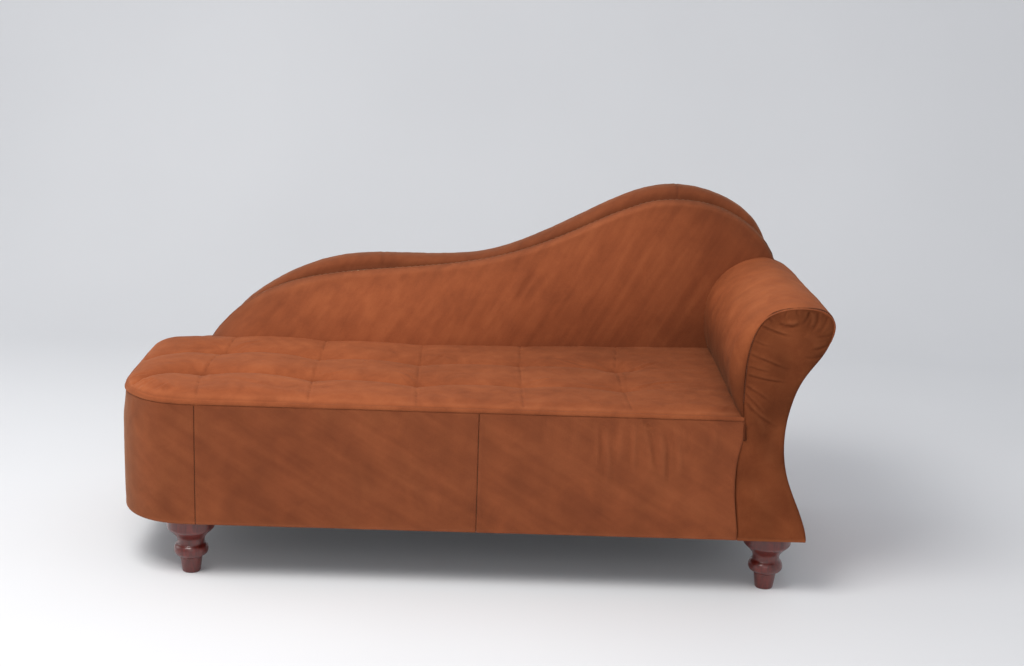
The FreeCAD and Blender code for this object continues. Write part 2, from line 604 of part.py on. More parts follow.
# --------------------------------------------------------------------- arm
ARM_Y0 = FRONT_Y + BO                    # -325
ARM_Y1 = 221.0
ROLL_Y0 = -312.0
front_profile = facing_prism(14, ARM_Y0, ARM_Y0 + BOARD, FRAME_Z)
rear_profile = facing_prism(14, ARM_Y1, ARM_Y1 + BOARD, FRAME_Z)
rails_clear = [box(638, 742, CROSS_Y0, CROSS_Y1, FRAME_Z - 1, 205.2),
               box(639.8, 668.2, CROSS_Y0, CROSS_Y1, 304.8, DECK_Z + 0.2)]
rear_profile = holes(rear_profile, rails_clear)
export("arm_front_profile", holes(front_profile, SCREW_HOLES))
export("arm_rear_profile", sorted(rear_profile.Solids, key=lambda s: -s.Volume)[0])
inner_14 = facing_prism(14, ARM_Y0 + BOARD, ARM_Y1, FRAME_Z)
arm_rails = [box(706, 746, ARM_Y0 + BOARD, ARM_Y1, 646, 671),
             box(756, 778, ARM_Y0 + BOARD, ARM_Y1, 612, 650),
             box(642, 662, ARM_Y0 + BOARD, ARM_Y1, 560, 600),
             box(645, 667, ARM_Y0 + BOARD, ARM_Y1, 372, 412),
             box(746, 777, ARM_Y0 + BOARD, ARM_Y1, FRAME_Z, 196)]
export("arm_slats", group([r.common(inner_14) for r in arm_rails]))

# thin board bent over the two profiles, inner side and scroll
liner_all = facing_prism(10, ARM_Y0, ARM_Y1 + BOARD, FRAME_Z).cut(
    facing_prism(14, ARM_Y0 - 5, ARM_Y1 + BOARD + 5, FRAME_Z - 5))
split = box(600, 741, -500, 500, 385, 800).fuse(box(741, 900, -500, 500, 592, 800))
inner_liner = liner_all.common(split.cut(box(690, 741, -500, 500, 300, 592)))
outer_liner = liner_all.common(box(690, 900, -500, 500, FRAME_Z, 591.6))
export("arm_inner_liner", sorted(inner_liner.Solids, key=lambda s: -s.Volume)[0])
export("outside_arm_board", sorted(outer_liner.Solids, key=lambda s: -s.Volume)[0])

roll0 = xz_prism(ROLL, [(720, 560), (690, 480), (690, 384.9)], ROLL_Y0, ARM_Y1 - 0.2)
roll2 = xz_prism(inset(ROLL, 2), [(716, 560), (692, 480), (692, 380)], ROLL_Y0 - 5, ARM_Y1 + 5)
body10 = facing_prism(10, -420, 420)
keep_roll = box(560, 900, -500, 500, 386, 800).cut(box(680, 900, -500, 500, 300, 592))
arm_foam = roll2.common(roll0).cut(body10).common(keep_roll)
arm_foam = sorted(arm_foam.Solids, key=lambda s: -s.Volume)[0]
export("arm_roll_foam", arm_foam)
arm_cover = roll0.cut(roll2).cut(body10).common(keep_roll)
export("arm_roll_cover", sorted(arm_cover.Solids, key=lambda s: -s.Volume)[0])

facing_pad = facing_prism(2, FRONT_Y + CLOTH, ROLL_Y0 - 0.2, FRAME_Z).cut(
    facing_prism(10, ARM_Y0, -200, FRAME_Z - 5))
facing_pad = facing_pad.cut(box(560, 634, ARM_Y0, -200, 100, SEAM_Z))
export("arm_facing_pad", sorted(facing_pad.Solids, key=lambda s: -s.Volume)[0])
facing_cloth = facing_prism(0, FRONT_Y, ROLL_Y0 - 0.2).cut(
    facing_prism(2, FRONT_Y + CLOTH, -200, FRAME_Z))
facing_cloth = facing_cloth.cut(box(690, 900, FRONT_Y + CLOTH, -200, 100, 592))
facing_cloth = facing_cloth.cut(box(560, 636, FRONT_Y + CLOTH, -200, 100, SEAM_Z))
export("arm_facing_cover", sorted(facing_cloth.Solids, key=lambda s: -s.Volume)[0])

side = box(705, 900, -500, 500, BOTTOM_Z, 591.6)
side_cover = facing_prism(0, FRONT_Y + CLOTH + 0.2, PAD_BACK_Y - 0.2).cut(
    facing_prism(2, -400, 400, LOW_Z)).common(side)
export("outside_arm_cover", sorted(side_cover.Solids, key=lambda s: -s.Volume)[0])
side_wad = facing_prism(2, ROLL_Y0, PAD_BACK_Y - 0.2, FRAME_Z).cut(
    facing_prism(10, -400, 400, LOW_Z)).common(side)
export("outside_arm_wadding", sorted(side_wad.Solids, key=lambda s: -s.Volume)[0])

# ------------------------------------------------------------- dust cover
dust = plan_prism(FLAP + 1.0, 772, BOTTOM_Z + 0.4, FRAME_Z - 0.1)
dust = dust.cut(box(STRAIGHT_X, 800, 299, 400, 100, 200))
dust = holes(dust, [cyl(x, y, 100, 200, BOLT_R + 0.6) for x, y in bolt_axes])
export("dust_cover", dust)
staples = []
for i in range(28):
    x = -590 + i * 46.0
    for y in (-294.5, 293.5):
        staples.append(box(x - 5, x + 5, y - 0.5, y + 0.5, BOTTOM_Z - 0.2, BOTTOM_Z + 0.4))
for j in range(-5, 6):
    staples.append(box(758.0, 759.0, j * 46.0 - 5, j * 46.0 + 5, BOTTOM_Z - 0.2, BOTTOM_Z + 0.4))
staples = [s for s in staples
           if all(math.hypot(s.CenterOfMass.x - x, s.CenterOfMass.y - y) > 64 for x, y in bolt_axes)]
export("dust_cover_staples", group(staples))
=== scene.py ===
import json
import math

import bpy
import numpy as np
from mathutils import Matrix, Vector


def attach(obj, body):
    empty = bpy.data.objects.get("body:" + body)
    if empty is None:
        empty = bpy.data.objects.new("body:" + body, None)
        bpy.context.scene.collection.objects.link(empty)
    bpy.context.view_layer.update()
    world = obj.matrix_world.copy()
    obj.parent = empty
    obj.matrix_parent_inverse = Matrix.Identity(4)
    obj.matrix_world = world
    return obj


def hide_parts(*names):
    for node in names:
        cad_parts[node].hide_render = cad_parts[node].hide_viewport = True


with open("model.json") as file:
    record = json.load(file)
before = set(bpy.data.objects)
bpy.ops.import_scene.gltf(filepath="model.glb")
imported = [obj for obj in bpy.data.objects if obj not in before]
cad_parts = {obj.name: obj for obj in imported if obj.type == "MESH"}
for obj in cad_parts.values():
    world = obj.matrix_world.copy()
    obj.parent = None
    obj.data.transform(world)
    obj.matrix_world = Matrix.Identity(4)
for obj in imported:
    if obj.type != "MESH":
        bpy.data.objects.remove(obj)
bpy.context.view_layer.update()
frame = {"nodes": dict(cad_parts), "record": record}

scene = bpy.context.scene
scene.view_settings.view_transform = "Standard"
scene.view_settings.look = "None"
scene.view_settings.exposure = 0.0
scene.view_settings.gamma = 1.0

# ---------------------------------------------------------------------------
# Sizes in millimetres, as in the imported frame: X foot end to head end, Y front
# to rear, Z up. Meshes are made in millimetres and scaled to metres.
# ---------------------------------------------------------------------------
FRONT_Y, REAR_Y = -335.0, 335.0
STRAIGHT_X, END_R, END_N = -628.0, 192.0, 2.35
BOTTOM_Z, SEAM_Z = 140.0, 431.0
FRONT_SEAM_X, FRONT_END_X = 24.0, 631.0

RIM = [(-685.8, 432.3), (-655.5, 470.9), (-621.8, 506.9), (-585.1, 540.0),
       (-545.6, 569.8), (-503.7, 596.1), (-459.8, 618.6), (-414.1, 637.1),
       (-366.9, 651.1), (-318.5, 660.5), (-269.3, 665.4), (-219.6, 667.2),
       (-169.6, 667.3), (-119.7, 667.3), (-70.1, 668.6), (-21.2, 672.8),
       (26.8, 681.2), (73.7, 694.4), (119.7, 711.7), (165.0, 731.9),
       (209.7, 754.2), (254.1, 777.4), (298.4, 800.7), (342.6, 822.9),
       (387.1, 843.2), (432.4, 859.5), (479.9, 868.8), (529.6, 869.2),
       (579.4, 861.7), (627.1, 847.0), (670.9, 824.7), (709.3, 794.1),
       (737.0, 755.4), (755.0, 711.1), (764.0, 664.1), (765.0, 616.1),
       (760.0, 568.1), (748.8, 520.5), (733.8, 473.0), (723.2, 424.9),
       (721.0, 375.8), (727.7, 326.9), (741.8, 279.3), (759.9, 232.9),
       (777.8, 187.0), (790.0, 140.0)]
PAD = [(-684.0, 431.5), (-672.0, 452.0), (-646.0, 484.0), (-613.0, 516.5),
       (-574.2, 545.0), (-534.9, 568.0), (-493.3, 586.4), (-449.8, 600.3),
       (-405.1, 611.1), (-359.4, 619.5), (-313.5, 626.1), (-267.5, 631.5),
       (-221.6, 636.3), (-175.8, 640.7), (-130.2, 645.4), (-84.8, 650.7),
       (-39.7, 657.1), (5.1, 665.0), (49.6, 674.9), (93.6, 687.2),
       (137.2, 701.8), (180.4, 718.4), (223.0, 736.7), (265.0, 756.3),
       (306.6, 776.6), (348.3, 796.1), (390.5, 813.2), (433.8, 828.7),
       (478.7, 836.9), (524.4, 838.4), (570.1, 834.7), (614.8, 824.6),
       (657.5, 806.6), (696.7, 782.8), (730.6, 753.2), (757.3, 717.0),
       (777.0, 671.3)]
FACING = [(631.0, 140.0), (632.1, 167.0), (632.7, 194.0), (632.8, 221.0),
          (632.4, 248.0), (631.8, 275.1), (630.8, 302.1), (629.7, 329.1),
          (628.5, 356.1), (627.4, 383.1), (626.3, 410.1), (625.3, 437.1),
          (624.6, 464.1), (624.3, 491.0), (624.4, 518.0), (625.0, 544.9),
          (626.8, 571.7), (630.5, 598.5), (636.8, 625.2), (646.8, 650.7),
          (662.6, 671.9), (685.5, 686.2), (711.4, 693.7), (736.9, 696.3),
          (765.9, 695.9), (793.6, 689.9), (810.9, 673.8), (814.2, 647.9),
          (808.2, 620.5), (797.1, 596.2), (782.4, 573.7), (766.6, 551.7),
          (752.5, 528.8), (741.5, 504.4), (733.4, 478.8), (727.5, 452.4),
          (723.5, 425.5), (721.5, 398.4), (721.6, 371.3), (724.0, 344.4),
          (728.6, 317.8), (735.6, 291.8), (744.9, 266.5), (755.4, 241.5),
          (766.3, 216.7), (776.4, 191.7), (784.8, 166.2), (790.5, 140.0)]
ROLL = [(639.6, 384.9), (633.4, 405.9), (625.3, 425.8), (616.4, 445.2),
        (607.8, 464.8), (600.7, 485.2), (595.7, 506.6), (593.0, 528.4),
        (592.7, 550.3), (594.8, 572.0), (599.4, 593.1), (606.5, 613.3),
        (616.1, 632.2), (628.2, 649.5), (642.9, 664.8), (660.0, 677.9),
        (679.3, 688.3), (700.2, 696.0), (722.0, 700.6), (744.0, 702.0),
        (765.7, 699.8), (786.3, 694.0), (805.3, 684.1), (820.1, 669.7),
        (825.6, 650.1), (820.3, 628.6), (808.5, 608.6), (796.0, 592.2)]


# --------------------------------------------------------------- mathematics
class Path:
    """Smooth open curve through 2-D points, read by arc length."""

    def __init__(self, pts, n=2400, straight=False):
        p = np.array(pts, float)
        d = np.r_[0, np.cumsum(np.hypot(*np.diff(p, axis=0).T))]
        t = np.linspace(0, d[-1], n)
        if straight:
            q = np.stack([np.interp(t, d, p[:, 0]), np.interp(t, d, p[:, 1])], 1)
        else:
            m = len(p)
            h = np.diff(d)
            a = np.eye(m)
            b = np.zeros((m, 2))
            for i in range(1, m - 1):
                a[i, i - 1], a[i, i], a[i, i + 1] = h[i - 1], 2 * (h[i - 1] + h[i]), h[i]
                b[i] = 6 * ((p[i + 1] - p[i]) / h[i] - (p[i] - p[i - 1]) / h[i - 1])
            k = np.linalg.solve(a, b)
            i = np.clip(np.searchsorted(d, t, side="right") - 1, 0, m - 2)
            u = (t - d[i])[:, None]
            hi = h[i][:, None]
            q = (k[i] * (hi - u) ** 3 + k[i + 1] * u ** 3) / (6 * hi) + (
                p[i] / hi - k[i] * hi / 6) * (hi - u) + (p[i + 1] / hi - k[i + 1] * hi / 6) * u
        self.q = q
        self.s = np.r_[0, np.cumsum(np.hypot(*np.diff(q, axis=0).T))]
        self.length = self.s[-1]

    def at(self, s):
        s = np.asarray(s, float)
        return np.stack([np.interp(s, self.s, self.q[:, 0]), np.interp(s, self.s, self.q[:, 1])], -1)

    def tangent(self, s, e=2.0):
        s = np.asarray(s, float)
        a, b = np.clip(s - e, 0, self.length), np.clip(s + e, 0, self.length)
        d = self.at(b) - self.at(a)
        return d / np.linalg.norm(d, axis=-1, keepdims=True)

    def right(self, s, e=2.0):
        t = self.tangent(s, e)
        return np.stack([t[..., 1], -t[..., 0]], -1)

    def nearest_s(self, point):
        return self.s[np.argmin(np.hypot(self.q[:, 0] - point[0], self.q[:, 1] - point[1]))]


rng = np.random.RandomState(7)
GRAD = rng.normal(size=(256, 3))
GRAD /= np.linalg.norm(GRAD, axis=1, keepdims=True)
PERM = rng.permutation(4096)


def noise3(p, scale, seed=0):
    """Smooth gradient noise of about -1 to 1, with features of the given size."""
    q = np.asarray(p, float) / scale + seed * 17.317
    i0 = np.floor(q).astype(int)
    f = q - i0
    w = f * f * f * (f * (f * 6 - 15) + 10)
    out = 0.0
    for dx in (0, 1):
        for dy in (0, 1):
            for dz in (0, 1):
                h = PERM[(i0[..., 0] + dx) & 4095]
                h = PERM[(h + i0[..., 1] + dy) & 4095]
                h = PERM[(h + i0[..., 2] + dz + seed * 31) & 4095] & 255
                g = GRAD[h]
                d = np.stack([f[..., 0] - dx, f[..., 1] - dy, f[..., 2] - dz], -1)
                wx = w[..., 0] if dx else 1 - w[..., 0]
                wy = w[..., 1] if dy else 1 - w[..., 1]
                wz = w[..., 2] if dz else 1 - w[..., 2]
                out = out + wx * wy * wz * (g * d).sum(-1)
    return out * 1.5


def fbm(p, scale, octaves=3, seed=0, gain=0.5):
    out, a = 0.0, 1.0
    for k in range(octaves):
        out = out + a * noise3(p, scale / 2 ** k, seed + k)
        a *= gain
    return out


def ss(a, b, x):
    t = np.clip((np.asarray(x, float) - a) / (b - a), 0, 1)
    return t * t * (3 - 2 * t)


def fold(u, w, pts, width, height, skew=0.0, taper=0.35):
    """Height of a soft fold along a polyline in (u, w): a ridge with a hollow beside it."""
    p = Path(pts, 60, straight=len(pts) < 3)
    best = np.full(u.shape, 1e9)
    side = np.zeros(u.shape)
    along = np.zeros(u.shape)
    for k in range(0, 60, 2):
        du, dw = u - p.q[k, 0], w - p.q[k, 1]
        d = du * du + dw * dw
        m = d < best
        t = p.q[min(k + 1, 59)] - p.q[max(k - 1, 0)]
        t = t / np.hypot(*t)
        best[m] = d[m]
        side[m] = (du * t[1] - dw * t[0])[m]
        along[m] = p.s[k] / p.length
    d = np.sqrt(best)
    end = np.clip(along, 0, 1)
    fade = ss(0, taper, end) * ss(0, taper, 1 - end)
    body = np.exp(-(d / width) ** 2)
    off = (side + skew * width) / width
    return height * fade * (body - 0.9 * np.exp(-((off - 1.3) ** 2)) * np.exp(-((d / (3 * width)) ** 2)))


def crease_line(u, w, pts, depth, width=2.2, lip=0.55, side_bias=0.6):
    """A drawn crease: a narrow valley with rounded lips, one fuller than the other.
    Returns the height and how much of the valley's shade falls here."""
    p = Path(pts, 80, straight=len(pts) < 3)
    best = np.full(u.shape, 1e9)
    side = np.zeros(u.shape)
    along = np.zeros(u.shape)
    for k in range(0, 80, 2):
        du, dw = u - p.q[k, 0], w - p.q[k, 1]
        d = du * du + dw * dw
        m = d < best
        t = p.q[min(k + 1, 79)] - p.q[max(k - 1, 0)]
        t = t / np.hypot(*t)
        best[m] = d[m]
        side[m] = (du * t[1] - dw * t[0])[m]
        along[m] = p.s[k] / p.length
    d = np.sqrt(best)
    fade = ss(0, 0.12, along) * ss(0, 0.45, 1 - along)
    grow = 0.75 + 0.5 * noise3(np.stack([u, w, 0 * u], -1), 14, 301)
    valley = np.exp(-(d / width) ** 2)
    up = np.exp(-((side + 2.6 * width) / (2.1 * width)) ** 2) * (0.5 + side_bias)
    dn = np.exp(-((side - 2.6 * width) / (2.1 * width)) ** 2) * (1.5 - side_bias) * 0.5
    near = np.exp(-(d / (5.0 * width)) ** 2)
    h = depth * fade * grow * (lip * near * (up + dn) - valley)
    return h, fade * valley


def pin(u, w, u0, w0, r, depth):
    return -depth * np.exp(-(((u - u0) ** 2 + (w - w0) ** 2) / r ** 2))


# ------------------------------------------------------------------- meshes
def normals_of(P):
    du = np.gradient(P, axis=0)
    dv = np.gradient(P, axis=1)
    n = np.cross(du, dv)
    return n / np.maximum(np.linalg.norm(n, axis=-1, keepdims=True), 1e-9)


def grid_index(ni, nj, base=0, wrap=False):
    idx = base + np.arange(ni * nj).reshape(ni, nj)
    if wrap:
        idx = np.vstack([idx, idx[:1]])
    return np.stack([idx[:-1, :-1], idx[1:, :-1], idx[1:, 1:], idx[:-1, 1:]], -1).reshape(-1, 4)


def build(name, verts, faces, attrs=None):
    me = bpy.data.meshes.new(name)
    faces = np.asarray(faces, np.int32)
    verts = np.asarray(verts, np.float64) * 0.001
    nf, k = faces.shape
    me.vertices.add(len(verts))
    me.vertices.foreach_set("co", verts.astype(np.float32).ravel())
    me.loops.add(nf * k)
    me.loops.foreach_set("vertex_index", faces.ravel())
    me.polygons.add(nf)
    me.polygons.foreach_set("loop_start", np.arange(0, nf * k, k, dtype=np.int32))
    me.polygons.foreach_set("use_smooth", np.ones(nf, bool))
    me.update(calc_edges=True)
    me.validate()
    for key, val in (attrs or {}).items():
        a = me.attributes.new(key, "FLOAT", "POINT")
        a.data.foreach_set("value", np.asarray(val, np.float32).ravel())
    ob = bpy.data.objects.new(name, me)
    scene.collection.objects.link(ob)
    return ob


def shell(name, outer, inner, attrs=None, flip=None):
    """Closed piece from an outer grid and a matching inner grid."""
    ni, nj = outer.shape[:2]
    n = ni * nj
    fo = grid_index(ni, nj)
    if flip is None:
        flip = ((normals_of(outer) * (outer - inner)).sum(-1)).mean() < 0
    fi = fo[:, ::-1] + n
    idx = np.arange(n).reshape(ni, nj)
    loop = np.concatenate([idx[:, 0], idx[-1, 1:], idx[-2::-1, -1], idx[0, -2:0:-1]])
    nxt = np.roll(loop, -1)
    rim = np.stack([nxt, loop, loop + n, nxt + n], -1)
    faces = np.concatenate([fo, fi, rim])
    if flip:
        faces = faces[:, ::-1]
    verts = np.concatenate([outer.reshape(-1, 3), inner.reshape(-1, 3)])
    if attrs:
        attrs = {k: np.concatenate([np.ravel(v), np.ravel(v)]) for k, v in attrs.items()}
    return build(name, verts, faces, attrs)


def join_grids(name, parts):
    """Several (outer, inner) shells in one object."""
    obs = [shell("%s_%d" % (name, i), o, n, a) for i, (o, n, a) in enumerate(parts)]
    with bpy.context.temp_override(active_object=obs[0], selected_editable_objects=obs,
                                   selected_objects=obs, object=obs[0]):
        bpy.ops.object.join()
    obs[0].name = name
    obs[0].data.name = name
    return obs[0]


def tube_mesh(runs, radius, sides=6):
    """Vertices and faces of many short round-ended tubes, one per run of points."""
    V, F = [], []
    base = 0
    ang = np.linspace(0, 2 * math.pi, sides, endpoint=False)
    for pts in runs:
        pts = np.asarray(pts, float)
        t = np.gradient(pts, axis=0)
        t /= np.maximum(np.linalg.norm(t, axis=1, keepdims=True), 1e-9)
        ref = np.array([0.0, 0.0, 1.0])
        if abs(t[0] @ ref) > 0.9:
            ref = np.array([1.0, 0.0, 0.0])
        a = np.cross(t, ref)
        a /= np.linalg.norm(a, axis=1, keepdims=True)
        b = np.cross(t, a)
        m = len(pts)
        r = np.full(m, radius)
        r[0] = r[-1] = radius * 0.35
        ring = pts[:, None] + r[:, None, None] * (
            np.cos(ang)[None, :, None] * a[:, None] + np.sin(ang)[None, :, None] * b[:, None])
        V.append(ring.reshape(-1, 3))
        idx = base + np.arange(m * sides).reshape(m, sides)
        j = np.roll(idx, -1, axis=1)
        F.append(np.stack([idx[:-1], idx[1:], j[1:], j[:-1]], -1).reshape(-1, 4))
        half = sides // 2
        for e, rev in ((0, False), (m - 1, True)):
            row = idx[e]
            for k in range(half - 1):
                q = [row[k], row[k + 1], row[sides - 2 - k], row[sides - 1 - k]]
                F.append(np.array([q[::-1] if rev else q]))
        base += m * sides
    return np.concatenate(V), np.concatenate(F)


# ---------------------------------------------------------------- materials
def links(nt, *pairs):
    for a, b in pairs:
        nt.links.new(a, b)


def start(name):
    m = bpy.data.materials.new(name)
    m.use_nodes = True
    nt = m.node_tree
    nt.nodes.clear()
    out = nt.nodes.new("ShaderNodeOutputMaterial")
    bs = nt.nodes.new("ShaderNodeBsdfPrincipled")
    nt.links.new(bs.outputs[0], out.inputs[0])
    tc = nt.nodes.new("ShaderNodeTexCoord")
    return m, nt, bs, tc.outputs["Object"]


def n_map(nt, vec, scale=(1, 1, 1), rot=(0, 0, 0), loc=(0, 0, 0)):
    n = nt.nodes.new("ShaderNodeMapping")
    n.inputs["Scale"].default_value = scale
    n.inputs["Rotation"].default_value = rot
    n.inputs["Location"].default_value = loc
    nt.links.new(vec, n.inputs["Vector"])
    return n.outputs[0]


def n_streak(nt, vec, rot, scale):
    """Coordinates turned first and scaled after, for streaks that run at a slant."""
    turned = n_map(nt, vec, rot=rot)
    return n_map(nt, turned, scale)


def n_noise(nt, vec, scale, detail=3.0, rough=0.5, dist=0.0):
    n = nt.nodes.new("ShaderNodeTexNoise")
    n.inputs["Scale"].default_value = scale
    n.inputs["Detail"].default_value = detail
    n.inputs["Roughness"].default_value = rough
    n.inputs["Distortion"].default_value = dist
    nt.links.new(vec, n.inputs["Vector"])
    return n.outputs["Fac"]


def n_ramp(nt, fac, stops):
    n = nt.nodes.new("ShaderNodeValToRGB")
    el = n.color_ramp.elements
    while len(el) < len(stops):
        el.new(0.5)
    for e, (pos, col) in zip(el, stops):
        e.position = pos
        e.color = (*col, 1.0) if len(col) == 3 else col
    nt.links.new(fac, n.inputs[0])
    return n.outputs[0]


def n_mix(nt, fac, a, b, mode="MIX"):
    n = nt.nodes.new("ShaderNodeMix")
    n.data_type = "RGBA"
    n.blend_type = mode
    for sock, val in ((n.inputs[0], fac), (n.inputs[6], a), (n.inputs[7], b)):
        if hasattr(val, "links") or hasattr(val, "is_linked"):
            nt.links.new(val, sock)
        elif isinstance(val, (int, float)):
            sock.default_value = val
        else:
            sock.default_value = (*val, 1.0)
    return n.outputs[2]


def n_math(nt, op, a, b=None, clamp=False):
    n = nt.nodes.new("ShaderNodeMath")
    n.operation = op
    n.use_clamp = clamp
    for i, val in enumerate((a, b)):
        if val is None:
            continue
        if isinstance(val, (int, float)):
            n.inputs[i].default_value = val
        else:
            nt.links.new(val, n.inputs[i])
    return n.outputs[0]


def n_bump(nt, height, strength, distance, normal=None):
    n = nt.nodes.new("ShaderNodeBump")
    n.inputs["Strength"].default_value = strength
    n.inputs["Distance"].default_value = distance
    nt.links.new(height, n.inputs["Height"])
    if normal is not None:
        nt.links.new(normal, n.inputs["Normal"])
    return n.outputs[0]


def n_attr(nt, name):
    n = nt.nodes.new("ShaderNodeAttribute")
    n.attribute_name = name
    return n.outputs["Fac"]


CLOTH_LIGHT = (0.375, 0.108, 0.039)
CLOTH_MID = (0.282, 0.074, 0.0260)
CLOTH_DARK = (0.195, 0.048, 0.0168)


def microfibre(name, streak_rot=(0.0, 0.0, 0.0), streak=0.35, tone=1.0, sheen=0.17, across=46.0, along=4.0,
               spec=0.18):
    """Brushed rust suede cloth: soft nap patches, faint streaks, fine pile; mesh attributes add nap darkening
    with painted shade, painted crease shade and painted highlights.
    """
    m, nt, bs, obj = start(name)
    big = n_noise(nt, n_map(nt, obj, loc=(3.1, 0.7, 1.9)), 3.2, 3.0, 0.55, 0.3)
    mid = n_noise(nt, obj, 17.0, 4.0, 0.6, 0.6)
    long = n_noise(nt, n_streak(nt, obj, streak_rot, (across, across, along)), 1.0, 3.0, 0.5, 0.15)
    fine = n_noise(nt, obj, 420.0, 2.0, 0.6)
    pile = n_noise(nt, n_map(nt, obj, (1.0, 1.0, 0.45)), 1500.0, 2.0, 0.7)
    a = n_math(nt, "MULTIPLY", big, 0.40)
    b = n_math(nt, "MULTIPLY", mid, 0.60 - streak)
    c = n_math(nt, "MULTIPLY", long, streak)
    f = n_math(nt, "ADD", n_math(nt, "ADD", a, b), c)
    f = n_math(nt, "ADD", f, n_math(nt, "MULTIPLY", n_math(nt, "SUBTRACT", fine, 0.5), 0.16))
    col = n_ramp(nt, f, [(0.30, tuple(tone * x for x in CLOTH_DARK)),
                         (0.50, tuple(tone * x for x in CLOTH_MID)),
                         (0.72, tuple(tone * x for x in CLOTH_LIGHT))])
    # nap and painted shade: this attribute darkens the colour, partly for the cloth's nap, partly where less
    # light falls
    nap_and_painted_shade = n_attr(nt, "nap_and_painted_shade")
    both = nt.nodes.new("ShaderNodeVectorMath")
    both.operation = "SCALE"
    nt.links.new(col, both.inputs[0])
    nt.links.new(n_math(nt, "SUBTRACT", 1.0, nap_and_painted_shade), both.inputs[3])
    col = both.outputs[0]
    # painted shade: this attribute mixes the colour toward near-black in creases, seams, tufts and gaps between
    # parts
    painted_crease_shade = n_attr(nt, "painted_crease_shade")
    col = n_mix(nt, n_math(nt, "MULTIPLY", painted_crease_shade, 0.62, True), col,
                (0.060 * tone, 0.014 * tone, 0.006 * tone))
    # painted highlight: this attribute mixes the colour toward a lighter rust on crowns, edges and fold ridges
    painted_highlight = n_attr(nt, "painted_highlight")
    col = n_mix(nt, n_math(nt, "MULTIPLY", painted_highlight, 0.45, True), col,
                (0.46 * tone, 0.155 * tone, 0.064 * tone))
    nt.links.new(col, bs.inputs["Base Color"])
    r = n_math(nt, "ADD", n_math(nt, "MULTIPLY", mid, 0.14), 0.80)
    nt.links.new(r, bs.inputs["Roughness"])
    bs.inputs["Specular IOR Level"].default_value = spec
    bs.inputs["Sheen Weight"].default_value = sheen
    bs.inputs["Sheen Roughness"].default_value = 0.40
    bs.inputs["Sheen Tint"].default_value = (1.0, 0.66, 0.40, 1.0)
    n1 = n_bump(nt, long, 0.10, 0.004)
    n2 = n_bump(nt, mid, 0.18, 0.0030, n1)
    n3 = n_bump(nt, fine, 0.30, 0.0006, n2)
    n4 = n_bump(nt, pile, 0.35, 0.00025, n3)
    nt.links.new(n4, bs.inputs["Normal"])
    return m


def wood(name, light, dark, scale=1.0, rough=0.55, coat=0.0, axis=(1.0, 8.0, 8.0), spec=0.4):
    m, nt, bs, obj = start(name)
    v = n_map(nt, obj, tuple(scale * a for a in axis))
    g = n_noise(nt, v, 9.0, 6.0, 0.6, 1.4)
    fine = n_noise(nt, n_map(nt, obj, tuple(scale * a * 5 for a in axis)), 24.0, 3.0, 0.6)
    f = n_math(nt, "ADD", n_math(nt, "MULTIPLY", g, 0.75), n_math(nt, "MULTIPLY", fine, 0.25))
    nt.links.new(n_ramp(nt, f, [(0.34, dark), (0.62, light)]), bs.inputs["Base Color"])
    r = n_math(nt, "ADD", n_math(nt, "MULTIPLY", fine, 0.16), rough - 0.08)
    nt.links.new(r, bs.inputs["Roughness"])
    bs.inputs["Specular IOR Level"].default_value = spec
    bs.inputs["Coat Weight"].default_value = coat
    bs.inputs["Coat Roughness"].default_value = 0.09
    nt.links.new(n_bump(nt, f, 0.18, 0.0008), bs.inputs["Normal"])
    return m


def plain(name, light, dark, scale, rough, metallic=0.0, bump=0.2, depth=0.0006, sheen=0.0):
    m, nt, bs, obj = start(name)
    a = n_noise(nt, obj, scale, 4.0, 0.6, 0.2)
    b = n_noise(nt, obj, scale * 9, 2.0, 0.6)
    f = n_math(nt, "ADD", n_math(nt, "MULTIPLY", a, 0.6), n_math(nt, "MULTIPLY", b, 0.4))
    nt.links.new(n_ramp(nt, f, [(0.35, dark), (0.65, light)]), bs.inputs["Base Color"])
    nt.links.new(n_math(nt, "ADD", n_math(nt, "MULTIPLY", a, 0.15), rough - 0.07),
                 bs.inputs["Roughness"])
    bs.inputs["Metallic"].default_value = metallic
    bs.inputs["Sheen Weight"].default_value = sheen
    nt.links.new(n_bump(nt, b, bump, depth), bs.inputs["Normal"])
    return m


M_SEAT = microfibre("microfibre_seat", (0.0, 0.0, 0.5), 0.16, 1.0, 0.12, 30.0, 30.0, 0.12)
M_BORDER = microfibre("microfibre_border", (0.0, 1.02, 0.0), 0.30, 1.0, 0.17, 40.0, 4.0)
M_BACK = microfibre("microfibre_back", (0.0, -0.52, 0.0), 0.34, 1.0, 0.15, 46.0, 4.0)
M_ARM = microfibre("microfibre_arm", (0.0, 0.0, 0.0), 0.20, 1.0, 0.04, 24.0, 24.0, 0.07)
M_THREAD = plain("rust_thread", (0.25, 0.072, 0.028), (0.15, 0.042, 0.017), 900.0, 0.7, 0.0, 0.4, 0.0002, 0.3)

